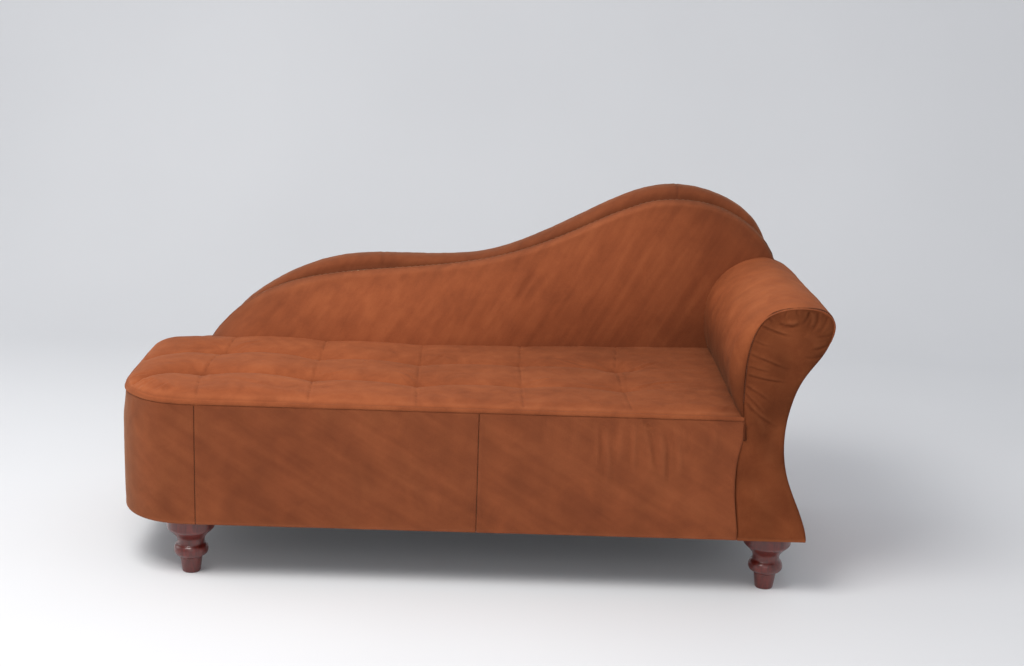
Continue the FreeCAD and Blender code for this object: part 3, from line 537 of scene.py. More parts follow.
SLOT_MATERIALS = {
    "softwood": wood("raw_softwood", (0.74, 0.55, 0.34), (0.52, 0.34, 0.18), 1.0, 0.75),
    "plywood": wood("raw_plywood", (0.62, 0.45, 0.28), (0.42, 0.28, 0.15), 1.6, 0.75),
    "liner_board": plain("liner_board", (0.40, 0.29, 0.18), (0.28, 0.19, 0.11), 60.0, 0.9),
    "foam": plain("seat_foam_material", (0.82, 0.76, 0.55), (0.68, 0.60, 0.40), 220.0, 0.95, 0, 0.6, 0.001),
    "wadding": plain("wadding_material", (0.88, 0.87, 0.84), (0.72, 0.71, 0.68), 90.0, 0.97, 0, 0.8, 0.002, 0.3),
    "zinc_plated_steel": plain("zinc_steel", (0.62, 0.62, 0.60), (0.42, 0.42, 0.42), 140.0, 0.38, 1.0),
    "spring_wire": plain("spring_steel", (0.16, 0.16, 0.17), (0.07, 0.07, 0.075), 160.0, 0.42, 0.8),
    "twine": plain("twine_fibre", (0.72, 0.64, 0.48), (0.50, 0.42, 0.28), 600.0, 0.9, 0, 0.6, 0.0005),
    "dust_cloth": plain("black_cambric", (0.035, 0.035, 0.037), (0.014, 0.014, 0.015), 300.0, 0.92, 0, 0.5, 0.0004, 0.2),
    "rust_microfibre": M_BORDER,
    "turned_hardwood": wood("mahogany_gloss", (0.150, 0.014, 0.008), (0.050, 0.005, 0.003), 1.0, 0.34, 0.55,
                            (9.0, 9.0, 1.6), 0.5),
}
slots = {s["node"]: s["material_slot"] for s in frame["record"]["subparts"]}
for node_name, ob in frame["nodes"].items():
    m = SLOT_MATERIALS[slots[node_name]]
    if ob.data.materials:
        for i in range(len(ob.data.materials)):
            ob.data.materials[i] = m
    else:
        ob.data.materials.append(m)


def piece(ob, mat, nodes=()):
    ob.data.materials.clear()
    ob.data.materials.append(mat)
    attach(ob, "root")
    if nodes:
        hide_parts(*nodes)
    return ob


# --------------------------------------------------------------------- plan
def corner(d, sign, steps=24):
    t = np.linspace(0, math.pi / 2, steps + 1)
    u, w = np.sin(t) ** (2 / END_N), np.cos(t) ** (2 / END_N)
    nu, nw = u ** (END_N - 1), w ** (END_N - 1)
    n = np.hypot(nu, nw)
    x = STRAIGHT_X - END_R * u + d * nu / n
    y = (REAR_Y - END_R) + END_R * w - d * nw / n
    return np.stack([x, sign * y], 1)


PLAN = Path(np.concatenate([
    [(700, FRONT_Y)], [(x, FRONT_Y) for x in range(600, -628, -60)],
    corner(0, -1), [(-820.0, y) for y in (-90, -30, 30, 90)], corner(0, 1)[::-1],
    [(x, REAR_Y) for x in range(-568, 560, 60)]]), 6000)


def edge_distance(x, y):
    """Distance in from the free edges of the seat, in plan."""
    ey0 = REAR_Y - END_R
    front = y - FRONT_Y
    dx = np.maximum(STRAIGHT_X - x, 0.0)
    dy = np.maximum(np.abs(y) - ey0, 0.0)
    r = (dx ** END_N + dy ** END_N) ** (1 / END_N)
    return np.where(x > STRAIGHT_X, front, END_R - r)


# --------------------------------------------------------------------- seat
ROW1 = np.array([(-840, -330), (-820, -300), (-795, -262), (-770, -216), (-740, -178), (-700, -152), (-637, -138), (-372, -155), (-128, -172), (119, -160),
                 (362, -166), (520, -160), (660, -160)], float)
ROW2 = np.array([(-840, -24), (-800, -14), (-740, 10), (-680, 34), (-615, 47), (-376, 24), (-128, 9), (118, 20),
                 (354, 4), (520, 5), (660, 5)], float)
ROW3 = np.array([(-840, 420), (-680, 420), (-600, 262), (-370, 258), (-127, 262), (123, 270), (371, 274),
                 (660, 276)], float)
COLS = [[(-619, -335), (-637, -138), (-615, 47), (-598, 200), (-590, 335)],
        [(-366, -335), (-372, -155), (-376, 24), (-372, 190), (-372, 335)],
        [(-120, -335), (-128, -172), (-128, 9), (-127, 200), (-127, 335)],
        [(124, -335), (119, -160), (118, 20), (123, 214), (123, 335)],
        [(371, -335), (362, -166), (354, 4), (371, 226), (375, 335)]]
TUFTS = [(-637, -138, 1.00), (-372, -155, 0.85), (-128, -172, 0.60), (119, -160, 0.34), (362, -166, 0.42),
         (-615, 47, 0.90), (-376, 24, 0.72), (-128, 9, 0.50), (118, 20, 0.30), (354, 4, 0.62)]


def curve_y(row, x):
    return np.interp(x, row[:, 0], row[:, 1])


def rear_drop(x, y):
    """The cover is pulled down lower round the rear of the foot end."""
    return 19.0 * ss(60, 290, y) * ss(-540, -700, x)


def shoulder(P):
    """The cloth leans in a little round the top of the foot end, on the top and on the border alike."""
    X, Y, Z = P[..., 0], P[..., 1], P[..., 2]
    d = np.maximum(edge_distance(X, Y), 0.0)
    a = (6.0 * ss(350, 437, Z) * ss(-700, -780, X) + 2.4 * ss(430.5, 433, Z) * ss(-700, -790, X)) * np.exp(
        -(d / 45.0) ** 2)
    n = np.stack([np.minimum(X - STRAIGHT_X, -1.0), np.sign(Y) * np.maximum(np.abs(Y) - 143.0, 0.0)], -1)
    n = n / np.linalg.norm(n, axis=-1, keepdims=True)
    Q = P.copy()
    Q[..., :2] -= n * a[..., None]
    return Q


def seat_height(x, y):
    d = np.maximum(edge_distance(x, y), 0.0)
    crown = np.interp(x, [-820, -700, -500, -275, 0, 300, 640], [459, 466, 468, 462, 456, 454, 455])
    R = np.interp(x, [-760, -600], [66.0, 54.0])
    q = 1 - np.minimum(d, R) / R
    k = np.interp(x, [-700, -560], [0.96, 0.68])
    env = k * np.sqrt(np.maximum(1 - q * q, 0)) + (1 - k) * (1 - np.exp(-d / 75.0)) / (1 - math.exp(-3.0))
    base = 433.0 - rear_drop(x, y)
    crown = crown - 35.0 * ss(120, 300, y) * ss(-545, -690, x)
    z = base + (crown - base) * np.minimum(env, 1.02)
    z = z + 3.0 * ss(0, 500, x) * ss(-150, 150, y)
    y1, y2, y3 = curve_y(ROW1, x), curve_y(ROW2, x), curve_y(ROW3, x)
    # how strong the rows are at this X
    amp = np.interp(x, [-830, -700, -500, -370, -128, 119, 362, 450, 520, 640],
                    [0.75, 1.0, 1.0, 0.95, 0.68, 0.34, 0.32, 0.12, 0.03, 0.02])
    mids = [FRONT_Y - 10 + 0 * x, y1, y2, y3, 380 + 0 * x]
    u = np.zeros_like(x)
    for a, b in zip(mids, mids[1:]):
        m = (y >= a) & (y < b)
        u = np.where(m, 2 * (y - a) / (b - a) - 1, u)
    front = (y < y1) & (u < 0)
    pill = np.where(front, 0.0, np.abs(u) ** 3.4)
    rim_fade = 1 - (1 - ss(0, 24, d)) * ss(60, 0, y)
    z = z - amp * 13.5 * pill * rim_fade
    # the sewn columns between the tufts
    xs = np.stack([np.interp(y, [p[1] for p in c], [p[0] for p in c]) for c in COLS])
    left = np.full_like(x, -905.0)
    right = np.full_like(x, 640.0 + 120)
    for k in range(5):
        left = np.where(x >= xs[k], xs[k], left)
        right = np.where(x < xs[k], np.minimum(right, xs[k]), right)
    v = 2 * (x - left) / np.maximum(right - left, 1) - 1
    inner = ss(6, 60, d)
    z = z - (0.8 + 5.0 * amp) * np.abs(v) ** 2.6 * (0.30 + 0.70 * inner)
    dc = np.min(np.abs(x - xs), axis=0)
    line = ss(4, 18, d)
    z = z - (1.0 + 0.4 * amp) * np.exp(-(dc / 2.2) ** 2) * (0.3 + 0.7 * line)
    z = z + 0.6 * np.exp(-((dc - 5.5) / 2.8) ** 2) * line
    # tight creases along the rows, fading between the tufts where they are weak
    for yr in (y1, y2):
        near = np.exp(-(dc / 95.0) ** 2)
        k = np.clip(amp * (0.45 + 0.35 * near) + 0.35 * near, 0, 1.1) * (1 - 0.85 * ss(395, 470, x))
        w = np.where(y < yr, 9.0, 14.0)
        z = z - k * 4.2 * np.exp(-np.abs((y - yr) / w) ** 1.4) * rim_fade
    # tufts
    for tx, ty, s in TUFTS:
        r2 = (x - tx) ** 2 / 1.6 + (y - ty) ** 2
        z = z - s * (9.0 * np.exp(-r2 / 46.0 ** 2) + 6.0 * np.exp(-r2 / 14.0 ** 2))
    return z, d, dc


def seat_folds(x, y):
    """Soft folds that run out from the tufts, and a few that lie across pillows."""
    out = np.zeros_like(x)
    r = np.random.RandomState(23)
    for tx, ty, s in TUFTS:
        base = r.uniform(0, 2 * math.pi)
        for k in range(7):
            a = base + k * 2 * math.pi / 7 + r.uniform(-0.3, 0.3)
            L = r.uniform(40, 95)
            bend = r.uniform(-0.35, 0.35)
            p0 = (tx + 8 * math.cos(a), ty + 8 * math.sin(a))
            p1 = (tx + 0.55 * L * math.cos(a + bend * 0.5), ty + 0.55 * L * math.sin(a + bend * 0.5))
            p2 = (tx + L * math.cos(a + bend), ty + L * math.sin(a + bend))
            out += fold(x, y, [p0, p1, p2], r.uniform(4.5, 7.5), r.uniform(0.6, 1.3) * (0.5 + s), 0.0, 0.45)
    for k, (fi, L) in enumerate(((12, 34), (21, 52), (30, 40), (39, 60), (49, 44), (58, 50), (69, 32))):
        a = math.radians(fi)
        b = math.radians(fi + (3, -4, 5, 2, -3, 4, -2)[k])
        c = (STRAIGHT_X, -143.0)
        out += fold(x, y, [(c[0] - 188 * math.cos(a), c[1] - 188 * math.sin(a)),
                           (c[0] - (188 - L * 0.5) * math.cos(b), c[1] - (188 - L * 0.5) * math.sin(b)),
                           (c[0] - (188 - L) * math.cos(b), c[1] - (188 - L) * math.sin(b))],
                    3.6 + 0.4 * (k % 3), -2.3)
    for pts, w, h in (
            ([(-262, -64), (-253, 8)], 3.6, -2.6),
            ([(348, 0), (300, 10), (256, 30), (185, 90)], 6.0, 2.4),
            ([(362, -4), (410, 20), (470, 75)], 6.0, 2.6),
            ([(362, 0), (368, -60), (366, -120)], 5.0, 1.8),
            ([(366, -160), (405, -142), (470, -112), (530, -104)], 6.5, 2.3),
            ([(352, -150), (300, -150), (245, -130)], 7.0, 1.2),
            ([(120, -150), (160, -120), (215, -100)], 6.0, 1.4),
            ([(-128, 12), (-95, 45), (-70, 90)], 6.0, 1.7),
            ([(-128, -165), (-160, -120), (-200, -95)], 6.0, 1.4),
            ([(-372, -150), (-330, -125), (-290, -118)], 6.0, 1.5),
            ([(-560, -205), (-500, -240), (-450, -262)], 10.0, 1.1),
            ([(-620, 60), (-575, 95), (-520, 115)], 8.0, 1.6),
            ([(-700, -290), (-725, -250), (-735, -215)], 9.0, 1.4),
            ([(-745, -268), (-762, -232), (-764, -200)], 8.0, 1.4),
            ([(-671, -312), (-690, -275), (-697, -240)], 8.0, 1.3),
            ([(560, -322), (585, -300), (600, -270)], 6.0, 1.0)):
        out += fold(x, y, pts, w, h)
    return out


def coons(F, B, L, R, s, t):
    """Patch between front F(s), back B(s), left L(t) and right R(t)."""
    s2, t2 = s[:, None, None], t[None, :, None]
    f, b = F(s)[:, None], B(s)[:, None]
    l, r = L(t)[None], R(t)[None]
    c00, c10, c01, c11 = F(np.zeros(1))[0], F(np.ones(1))[0], B(np.zeros(1))[0], B(np.ones(1))[0]
    return ((1 - t2) * f + t2 * b + (1 - s2) * l + s2 * r
            - ((1 - s2) * (1 - t2) * c00 + s2 * (1 - t2) * c10 + (1 - s2) * t2 * c01 + s2 * t2 * c11))


def on_path(path):
    return lambda u: path.at(np.asarray(u) * path.length)


def edge_steps(n, e0, e1, k=9):
    """0..1 with fine quadratic steps near both ends, as shares of the side's length."""
    a = 1 - np.cos(np.linspace(0, math.pi / 2, k + 1))[::1]
    left = a * e0
    right = 1 - a[::-1] * e1
    mid = np.linspace(e0, 1 - e1, n)[1:-1]
    return np.concatenate([left, mid, right])


def make_seat():
    cf, cr = corner(0, -1), corner(0, 1)
    half = len(cf) // 2
    front = Path([*cf[half::-1], *[(x, FRONT_Y) for x in range(-568, 600, 60)], (636, FRONT_Y)])
    rear = Path([*cr[half:3:-1], (-650, 300), (-620, 262), *[(x, 252) for x in range(-560, 600, 60)],
                 (636, 252)])
    left = Path([*cf[half:], (-820, -60), (-820, 0), (-820, 60), *cr[:half - 1:-1]])
    right = Path([(636, FRONT_Y), (636, -100), (636, 100), (636, 252)])
    s = edge_steps(340, 34 / 1450, 26 / 1450, 14)
    t = edge_steps(150, 40 / 600, 20 / 600, 16)
    xy = coons(on_path(front), on_path(rear), on_path(left), on_path(right), s, t)
    x, y = xy[..., 0], xy[..., 1]
    z, d, dc = seat_height(x, y)
    z = z + seat_folds(x, y)
    p = np.stack([x, y, z], -1)
    soft = ss(4, 40, d)
    z = z + soft * (0.9 * fbm(p, 95, 3, 3) + 0.35 * fbm(p, 22, 2, 9))
    # line of top stitching round the edge, and gathers between it and the seam
    far = ss(-110, 0, y) * ss(-690, -770, x)
    z = z - (1.0 - far) * np.exp(-((d - 5.5) / 1.9) ** 2) + 0.6 * np.exp(-((d - 10.5) / 3.6) ** 2)
    gather = np.exp(-((x + 742) / 58.0) ** 2) * (y < -100)
    ang = np.arctan2(y + 143.0, x - STRAIGHT_X) * END_R
    z = z + (0.25 + 3.6 * gather) * noise3(np.stack([np.where(x > STRAIGHT_X, x, ang), 0 * x, 0 * x], -1),
                                           15, 13) * np.exp(-((d - 11) / 10.0) ** 2)
    # the head end turns down beside the arm
    e = np.clip((x - 604.0) / 28.0, 0, 1)
    z = z - 16.0 * (1 - np.sqrt(np.maximum(1 - e ** 2.2, 0)))
    # outer skirt of the seat edge stands a little proud of the seam
    out = (0.9 - 0.7 * ss(-690, -770, x)) * np.exp(-d / 5.0) * (1 + 0.3 * noise3(p, 60, 5))
    n2 = np.stack([np.where(x > STRAIGHT_X, 0, x - STRAIGHT_X),
                   np.where(x > STRAIGHT_X, -1.0, np.sign(y) * np.maximum(np.abs(y) - 143, 0))], -1)
    n2 /= np.maximum(np.linalg.norm(n2, axis=-1, keepdims=True), 1e-6)
    keep = (y < 250)[..., None]
    x = x + n2[..., 0] * out * keep[..., 0]
    y = y + n2[..., 1] * out * keep[..., 0]
    outer = shoulder(np.stack([x, y, z], -1))
    # painted shade in the column seams, the tufts, the stitch line and the gap beside the arm
    painted_shade = 0.42 * np.exp(-(dc / 1.5) ** 2) * ss(2, 12, d)
    for tx, ty, st in TUFTS:
        painted_shade = np.maximum(painted_shade, 0.75 * st * np.exp(-((x - tx) ** 2 + (y - ty) ** 2) / 16.0 ** 2))
    painted_shade = np.maximum(painted_shade, 0.38 * (1 - far) * np.exp(-((d - 5.0) / 1.8) ** 2))
    painted_shade = np.maximum(painted_shade, 0.75 * ss(618, 632, x))
    # painted highlight along the crown of the seat edge
    painted_highlight = 0.40 * np.exp(-((d - 12) / 9.0) ** 2) * (0.6 + 0.6 * noise3(outer, 40, 11))
    # nap and painted shade: darker to the right, toward the rear and beside the arm
    nap_and_painted_shade = 0.13 * ss(-420, 560, x) + 0.12 * ss(-120, 240, y) * ss(-300, 300, x)
    nap_and_painted_shade = nap_and_painted_shade + 0.20 * ss(560, 625, x)
    inner = outer.copy()
    inner[..., 2] = np.minimum(outer[..., 2] - 6, 424.0)
    shrink = np.minimum(1.0, 6.0 / np.maximum(np.abs(outer[..., 0]), 1))
    inner[..., 0] = outer[..., 0] * (1 - shrink * 0.9)
    inner[..., 1] = outer[..., 1] * (1 - 6.0 / 335.0)
    ob = shell("seat_cushion_top", outer, inner, {"painted_crease_shade": painted_shade, "painted_highlight": np.clip(painted_highlight, 0, 1), "nap_and_painted_shade": nap_and_painted_shade})
    piece(ob, M_SEAT, ("seat_cover", "seat_foam", "spring_insulator_pad"))
    return ob


make_seat()


# ------------------------------------------- seam band along the seat's edge
def plan_run(x0, x1):
    """Arc lengths on the plan outline from the front at x0 round to the rear at x1."""
    return PLAN.nearest_s((x0, FRONT_Y)), PLAN.nearest_s((x1, REAR_Y))


def swept(s, section, wob=None):
    """A closed section (out, z) swept along the plan outline at arc lengths s."""
    base = PLAN.at(s)
    out = -PLAN.right(s, 4.0)
    sec = np.array(section, float)
    P = np.zeros((len(s), len(sec), 3))
    for j, (o, z) in enumerate(sec):
        off = o if wob is None else o + wob[:, j]
        P[:, j, :2] = base - out * -1.0 * (off if np.ndim(off) else np.full(len(s), off))[:, None]
        P[:, j, 2] = z
    return P


def band(name, s, section, mat, attrs=None, zwob=None, wob=None, zrow=None):
    P = swept(s, section, wob)
    if zwob is not None:
        P[..., 2] += zwob[:, None]
    if zrow is not None:
        P[..., 2] += zrow
    P = shoulder(P)
    ni, nj = P.shape[:2]
    idx = np.arange(ni * nj).reshape(ni, nj)
    j2 = np.roll(idx, -1, axis=1)
    faces = np.stack([idx[:-1], idx[1:], j2[1:], j2[:-1]], -1).reshape(-1, 4)
    caps = []
    for e, rev in ((0, False), (ni - 1, True)):
        row = idx[e]
        for k in range(nj // 2 - 1):
            q = [row[k], row[k + 1], row[nj - 2 - k], row[nj - 1 - k]]
            caps.append(q[::-1] if rev else q)
    faces = np.concatenate([faces, np.array(caps)])
    ob = build(name, P.reshape(-1, 3), faces[:, ::-1], attrs)
    return ob, P


# outward is to the left of travel on this outline (front to foot end to rear)
S0, S1 = plan_run(628, -640)
s = np.arange(S0, S1, 3.0)
pw = np.stack([s, 0 * s, 0 * s], -1)
z_wob = 0.9 * noise3(pw, 140, 2) + 0.35 * noise3(pw, 26, 4)
b2 = PLAN.at(s)
z_wob = z_wob - rear_drop(b2[:, 0], b2[:, 1])
sec = [(-6, 430.0), (-0.4, 430.2), (0.7, 430.9), (1.2, 432.4), (1.2, 434.6), (0.7, 437.0), (-0.5, 439.2),
       (-3.0, 440.2), (-6, 437.0), (-8, 434.0)]
wob = np.zeros((len(s), len(sec)))
pucker = 0.28 * np.sin(s * 2 * math.pi / 9.5 + 2.0 * noise3(pw, 60, 8))
quiet = ss(-690, -770, b2[:, 0])
for j in (2, 3, 4, 5):
    wob[:, j] = pucker * (0.6 + 0.5 * noise3(pw, 80, 6)) * (1 - 0.7 * quiet) - 0.5 * quiet
# painted shade across the seam band's rows, darkest low and inside; painted highlight on the rest
cr = np.tile(np.array([0.7, 0.5, 0.15, 0.0, 0.0, 0.05, 0.15, 0.3, 0.4, 0.4]), (len(s), 1))
zrow = np.zeros((len(s), len(sec)))
low_end = np.maximum(rear_drop(b2[:, 0], b2[:, 1]) / 19.0,
                     0.75 * ss(-110, 0, b2[:, 1]) * ss(-690, -770, b2[:, 0]))
for j, g in ((4, 0.6), (5, 1.6), (6, 3.0), (7, 6.5), (8, 7.5), (9, 7.5)):
    zrow[:, j] = -g * low_end
ob, _ = band("seat_edge_seam", s, sec, M_SEAT, {"painted_crease_shade": cr, "painted_highlight": 0.10 * (1 - cr), "nap_and_painted_shade": 0 * cr + 0.10},
             z_wob, wob, zrow)
piece(ob, M_SEAT)


def stitches(name, pts, pitch, length, radius, lift=None):
    """Short thread stitches along a 3-D polyline."""
    pts = np.asarray(pts, float)
    d = np.r_[0, np.cumsum(np.linalg.norm(np.diff(pts, axis=0), axis=1))]
    runs = []
    for a in np.arange(2.0, d[-1] - length, pitch):
        q = np.linspace(a, a + length, 4)
        r = np.stack([np.interp(q, d, pts[:, k]) for k in range(3)], 1)
        if lift is not None:
            L = np.stack([np.interp(q, d, lift[:, k]) for k in range(3)], 1)
            r = r + L * np.array([-0.5, 1.0, 1.0, -0.5])[:, None] * radius
        runs.append(r)
    V, F = tube_mesh(runs, radius)
    ob = build(name, V, F)
    return piece(ob, M_THREAD)


base2 = PLAN.at(s)
outw = -PLAN.right(s, 4.0) * -1.0
seam_pts = np.concatenate([base2 + outw * 1.4, (436.9 + z_wob - 1.6 * low_end)[:, None]], 1)
seam_pts = shoulder(seam_pts)
lift = np.concatenate([outw * 0.6, np.full((len(s), 1), 0.8)], 1)
stitches("seat_edge_stitches", seam_pts, 4.6, 3.4, 0.42, lift)


# ------------------------------------------------------------------- border
BORDER_FOLDS = [  # (X, Z) lines on the front face, width, height
    ([(311, 424), (319, 360), (323, 300), (320, 250)], 7.0, 2.0),
    ([(300, 428), (304, 380), (303, 300)], 6.0, -1.6),
    ([(345, 426), (349, 370), (347, 310)], 8.0, 1.3),
    ([(377, 428), (379, 380), (381, 330), (383, 290)], 6.0, 1.8),
    ([(405, 420), (418, 384), (428, 340), (433, 300)], 6.0, -2.4),
    ([(430, 424), (440, 380), (446, 330), (452, 280)], 6.5, 2.3),
    ([(448, 410), (459, 360), (461, 308), (463, 260)], 6.0, -2.0),
    ([(466, 424), (480, 381), (486, 330), (490, 285)], 7.0, 1.8),
    ([(500, 420), (505, 380), (508, 340)], 7.0, -1.0),
    ([(398, 427), (412, 411), (428, 406)], 3.4, -2.2),
    ([(303, 418), (312, 409), (322, 404)], 3.0, -2.0),
    ([(245, 428), (247, 390), (246, 350)], 8.0, 0.9),
    ([(180, 428), (182, 395), (181, 360)], 8.0, 0.7),
    ([(560, 426), (566, 380), (568, 330)], 10.0, 0.9),
    ([(515, 250), (540, 215), (560, 180)], 14.0, 0.9),
]


def side_line(z):
    """How far the line between the border and the arm facing wavers from straight."""
    return np.interp(z, [140, 167, 216, 252, 289, 320, 349, 375, 398, 425, 453],
                     [0, -1, -8, -12, -13.5, -12.5, -9, -3, 1.5, 1.5, 0])


def make_border(name, s0, s1, nodes, edge0, edge1):
    """One length of border cloth: tucked at the seams, turned under at the bottom."""
    s = np.unique(np.concatenate([
        s0 + 10 * (1 - np.cos(np.linspace(0, math.pi / 2, 8))), np.arange(s0 + 12, s1 - 12, 4.5),
        s1 - 10 * (1 - np.cos(np.linspace(0, math.pi / 2, 8)))]))
    # section rows: (inward, z) from the hidden flap, under the edge, up to the seam
    lower = [(34, 140.9), (22, 140.6), (12, 140.3), (6.5, 140.0), (3.2, 140.3), (1.4, 141.3), (0.5, 142.9),
             (0.1, 145.0)]
    zs = np.concatenate([np.linspace(149, 424, 66), [426.5, 428.4, 429.8, 430.6, 431.0]])
    ins = np.concatenate([0 * np.linspace(149, 424, 66), [0.1, 0.3, 0.7, 1.5, 4.0]])
    rows_in = np.array([a for a, _ in lower] + list(ins))
    rows_z = np.array([z for _, z in lower] + list(zs))
    base = PLAN.at(s)
    out = PLAN.right(s, 4.0)
    out = out * -1.0 if (out[len(s) // 2] @ (base[len(s) // 2] - np.array([-300.0, 0.0]))) < 0 else out
    S, Z = np.meshgrid(s, rows_z, indexing="ij")
    X = np.repeat(base[:, :1], len(rows_z), 1)
    Y = np.repeat(base[:, 1:], len(rows_z), 1)
    P0 = np.stack([X, Y, Z], -1)
    face = ss(146, 160, Z) * ss(431, 424, Z)
    w = face * (1.1 * fbm(P0, 170, 3, 21) + 0.30 * fbm(P0, 36, 2, 25))
    # soft diagonal drag lines in the cloth
    diag = np.stack([(S * 0.75 - Z * 0.66) / 1.0, (S * 0.66 + Z * 0.75) / 7.0, 0 * Z], -1)
    w = w + face * 0.45 * noise3(diag, 34, 31)
    front = (np.abs(Y - FRONT_Y) < 1.0)
    f = np.zeros_like(Z)
    for pts, wd, h in BORDER_FOLDS:
        f = f + fold(X, Z, pts, wd, h * 1.25)
    w = w + np.where(front, f, 0) * face
    # gathers just under the seam
    g = noise3(np.stack([S, 0 * S, 0 * S], -1), 13, 41) * np.exp(-(431 - Z) / 26.0)
    w = w + 0.9 * g * ss(431, 427, Z) * (0.4 + 0.9 * ss(0, 400, X))
    w = w + 1.2 * np.sin(math.pi * np.clip((Z - 140) / 291, 0, 1))
    # ends roll into the vertical seams, with painted shade in the roll
    d0, d1 = S - s0, s1 - S
    painted_shade = np.zeros_like(Z)
    for dist, e in ((d0, edge0), (d1, edge1)):
        if e > 0:
            k = np.clip(1 - dist / e, 0, 1)
            w = w - e * (0.62 if e < 4 else 0.5) * (1 - np.sqrt(np.maximum(1 - k * k, 0)))
            painted_shade = np.maximum(painted_shade, 0.6 * k ** 3)
            w = w + 0.35 * np.exp(-((dist - 7) / 3.5) ** 2)
            tick = noise3(np.stack([Z, 0 * Z, 0 * Z], -1), 11, 51) * np.exp(-dist / 13.0)
            w = w + 0.55 * tick * face * ss(0, 4, dist)
    w = w - 2.6 * ss(-700, -790, X)
    off = w - rows_in[None, :]
    outer = P0.copy()
    outer[..., :2] += out[:, None, :] * off[..., None]
    # lower edge is not quite level
    low = (Z < 147)
    outer[..., 2] += np.where(low, 0.5 * noise3(np.stack([S, 0 * S, 0 * S], -1), 90, 61), 0)
    outer[..., 2] = np.maximum(outer[..., 2], 139.6)
    outer[..., 2] -= rear_drop(base[:, 0], base[:, 1])[:, None] * np.clip((Z - 200) / 231.0, 0, 1)
    outer = shoulder(outer)
    inner = outer.copy()
    thick = np.where(Z < 146, 1.2, 3.0)
    nrm = np.zeros_like(outer)
    nrm[..., :2] = out[:, None, :]
    nrm[:, :4, :2] *= 0.0
    nrm[:, :4, 2] = -1.0
    nrm[:, 4:8, 2] = -0.6
    nrm /= np.linalg.norm(nrm, axis=-1, keepdims=True)
    inner = outer - nrm * thick[..., None]
    # painted shade just under the seat seam
    painted_shade = np.maximum(painted_shade, 0.45 * ss(428, 431, Z))
    painted_shade = np.maximum(painted_shade, 0.18 * np.exp(-(431 - Z) / 9.0))
    # painted highlight along the turned-under bottom edge and on fold ridges
    painted_highlight = 0.60 * np.exp(-np.abs(Z - 144.5) / 3.0) * (0.6 + 0.5 * noise3(P0, 50, 71))
    painted_highlight = painted_highlight + 0.15 * np.clip(f / 2.0, 0, 1)
    # the head end of the front follows the wavering line beside the arm
    wave = side_line(Z) * ss(150, 10, np.where(Y < 0, FRONT_END_X - X, 999.0))
    outer[..., 0] += wave
    inner[..., 0] += wave
    # nap and painted shade: darker at the foot end, lighter toward the arm, with random tone
    nap_and_painted_shade = np.where(Y < 0, np.interp(X, [-820, -640, 0, 600], [0.36, 0.29, 0.26, 0.18]), 0.2)
    nap_and_painted_shade = nap_and_painted_shade + 0.10 * noise3(P0 * [1.0, 1.0, 0.5], 55, 73)
    ob = shell(name, outer, inner, {"painted_crease_shade": painted_shade, "painted_highlight": np.clip(painted_highlight, 0, 1), "nap_and_painted_shade": nap_and_painted_shade})
    piece(ob, M_BORDER, nodes)
    return ob


SE = PLAN.nearest_s((FRONT_END_X - 0.6, FRONT_Y))
SM = PLAN.nearest_s((FRONT_SEAM_X, FRONT_Y))
SL = PLAN.nearest_s((STRAIGHT_X + 4, FRONT_Y))
SR = PLAN.nearest_s((STRAIGHT_X - 1, REAR_Y))
make_border("border_head_length", SE, SM - 0.4, ("border_cover_right",), 5.0, 2.2)
make_border("border_middle_length", SM + 0.4, SL - 0.4, ("border_cover_left",), 2.2, 2.4)
make_border("border_foot_length", SL + 0.4, SR, ("border_cover_foot", "border_wadding"), 2.4, 2.4)


# --------------------------------------------------------------- padded back
RIM_P = Path(RIM)
PAD_P = Path(PAD)


def pad_top_at(x):
    q = PAD_P.q[: int(len(PAD_P.q))]
    return np.interp(x, q[:, 0], q[:, 1])


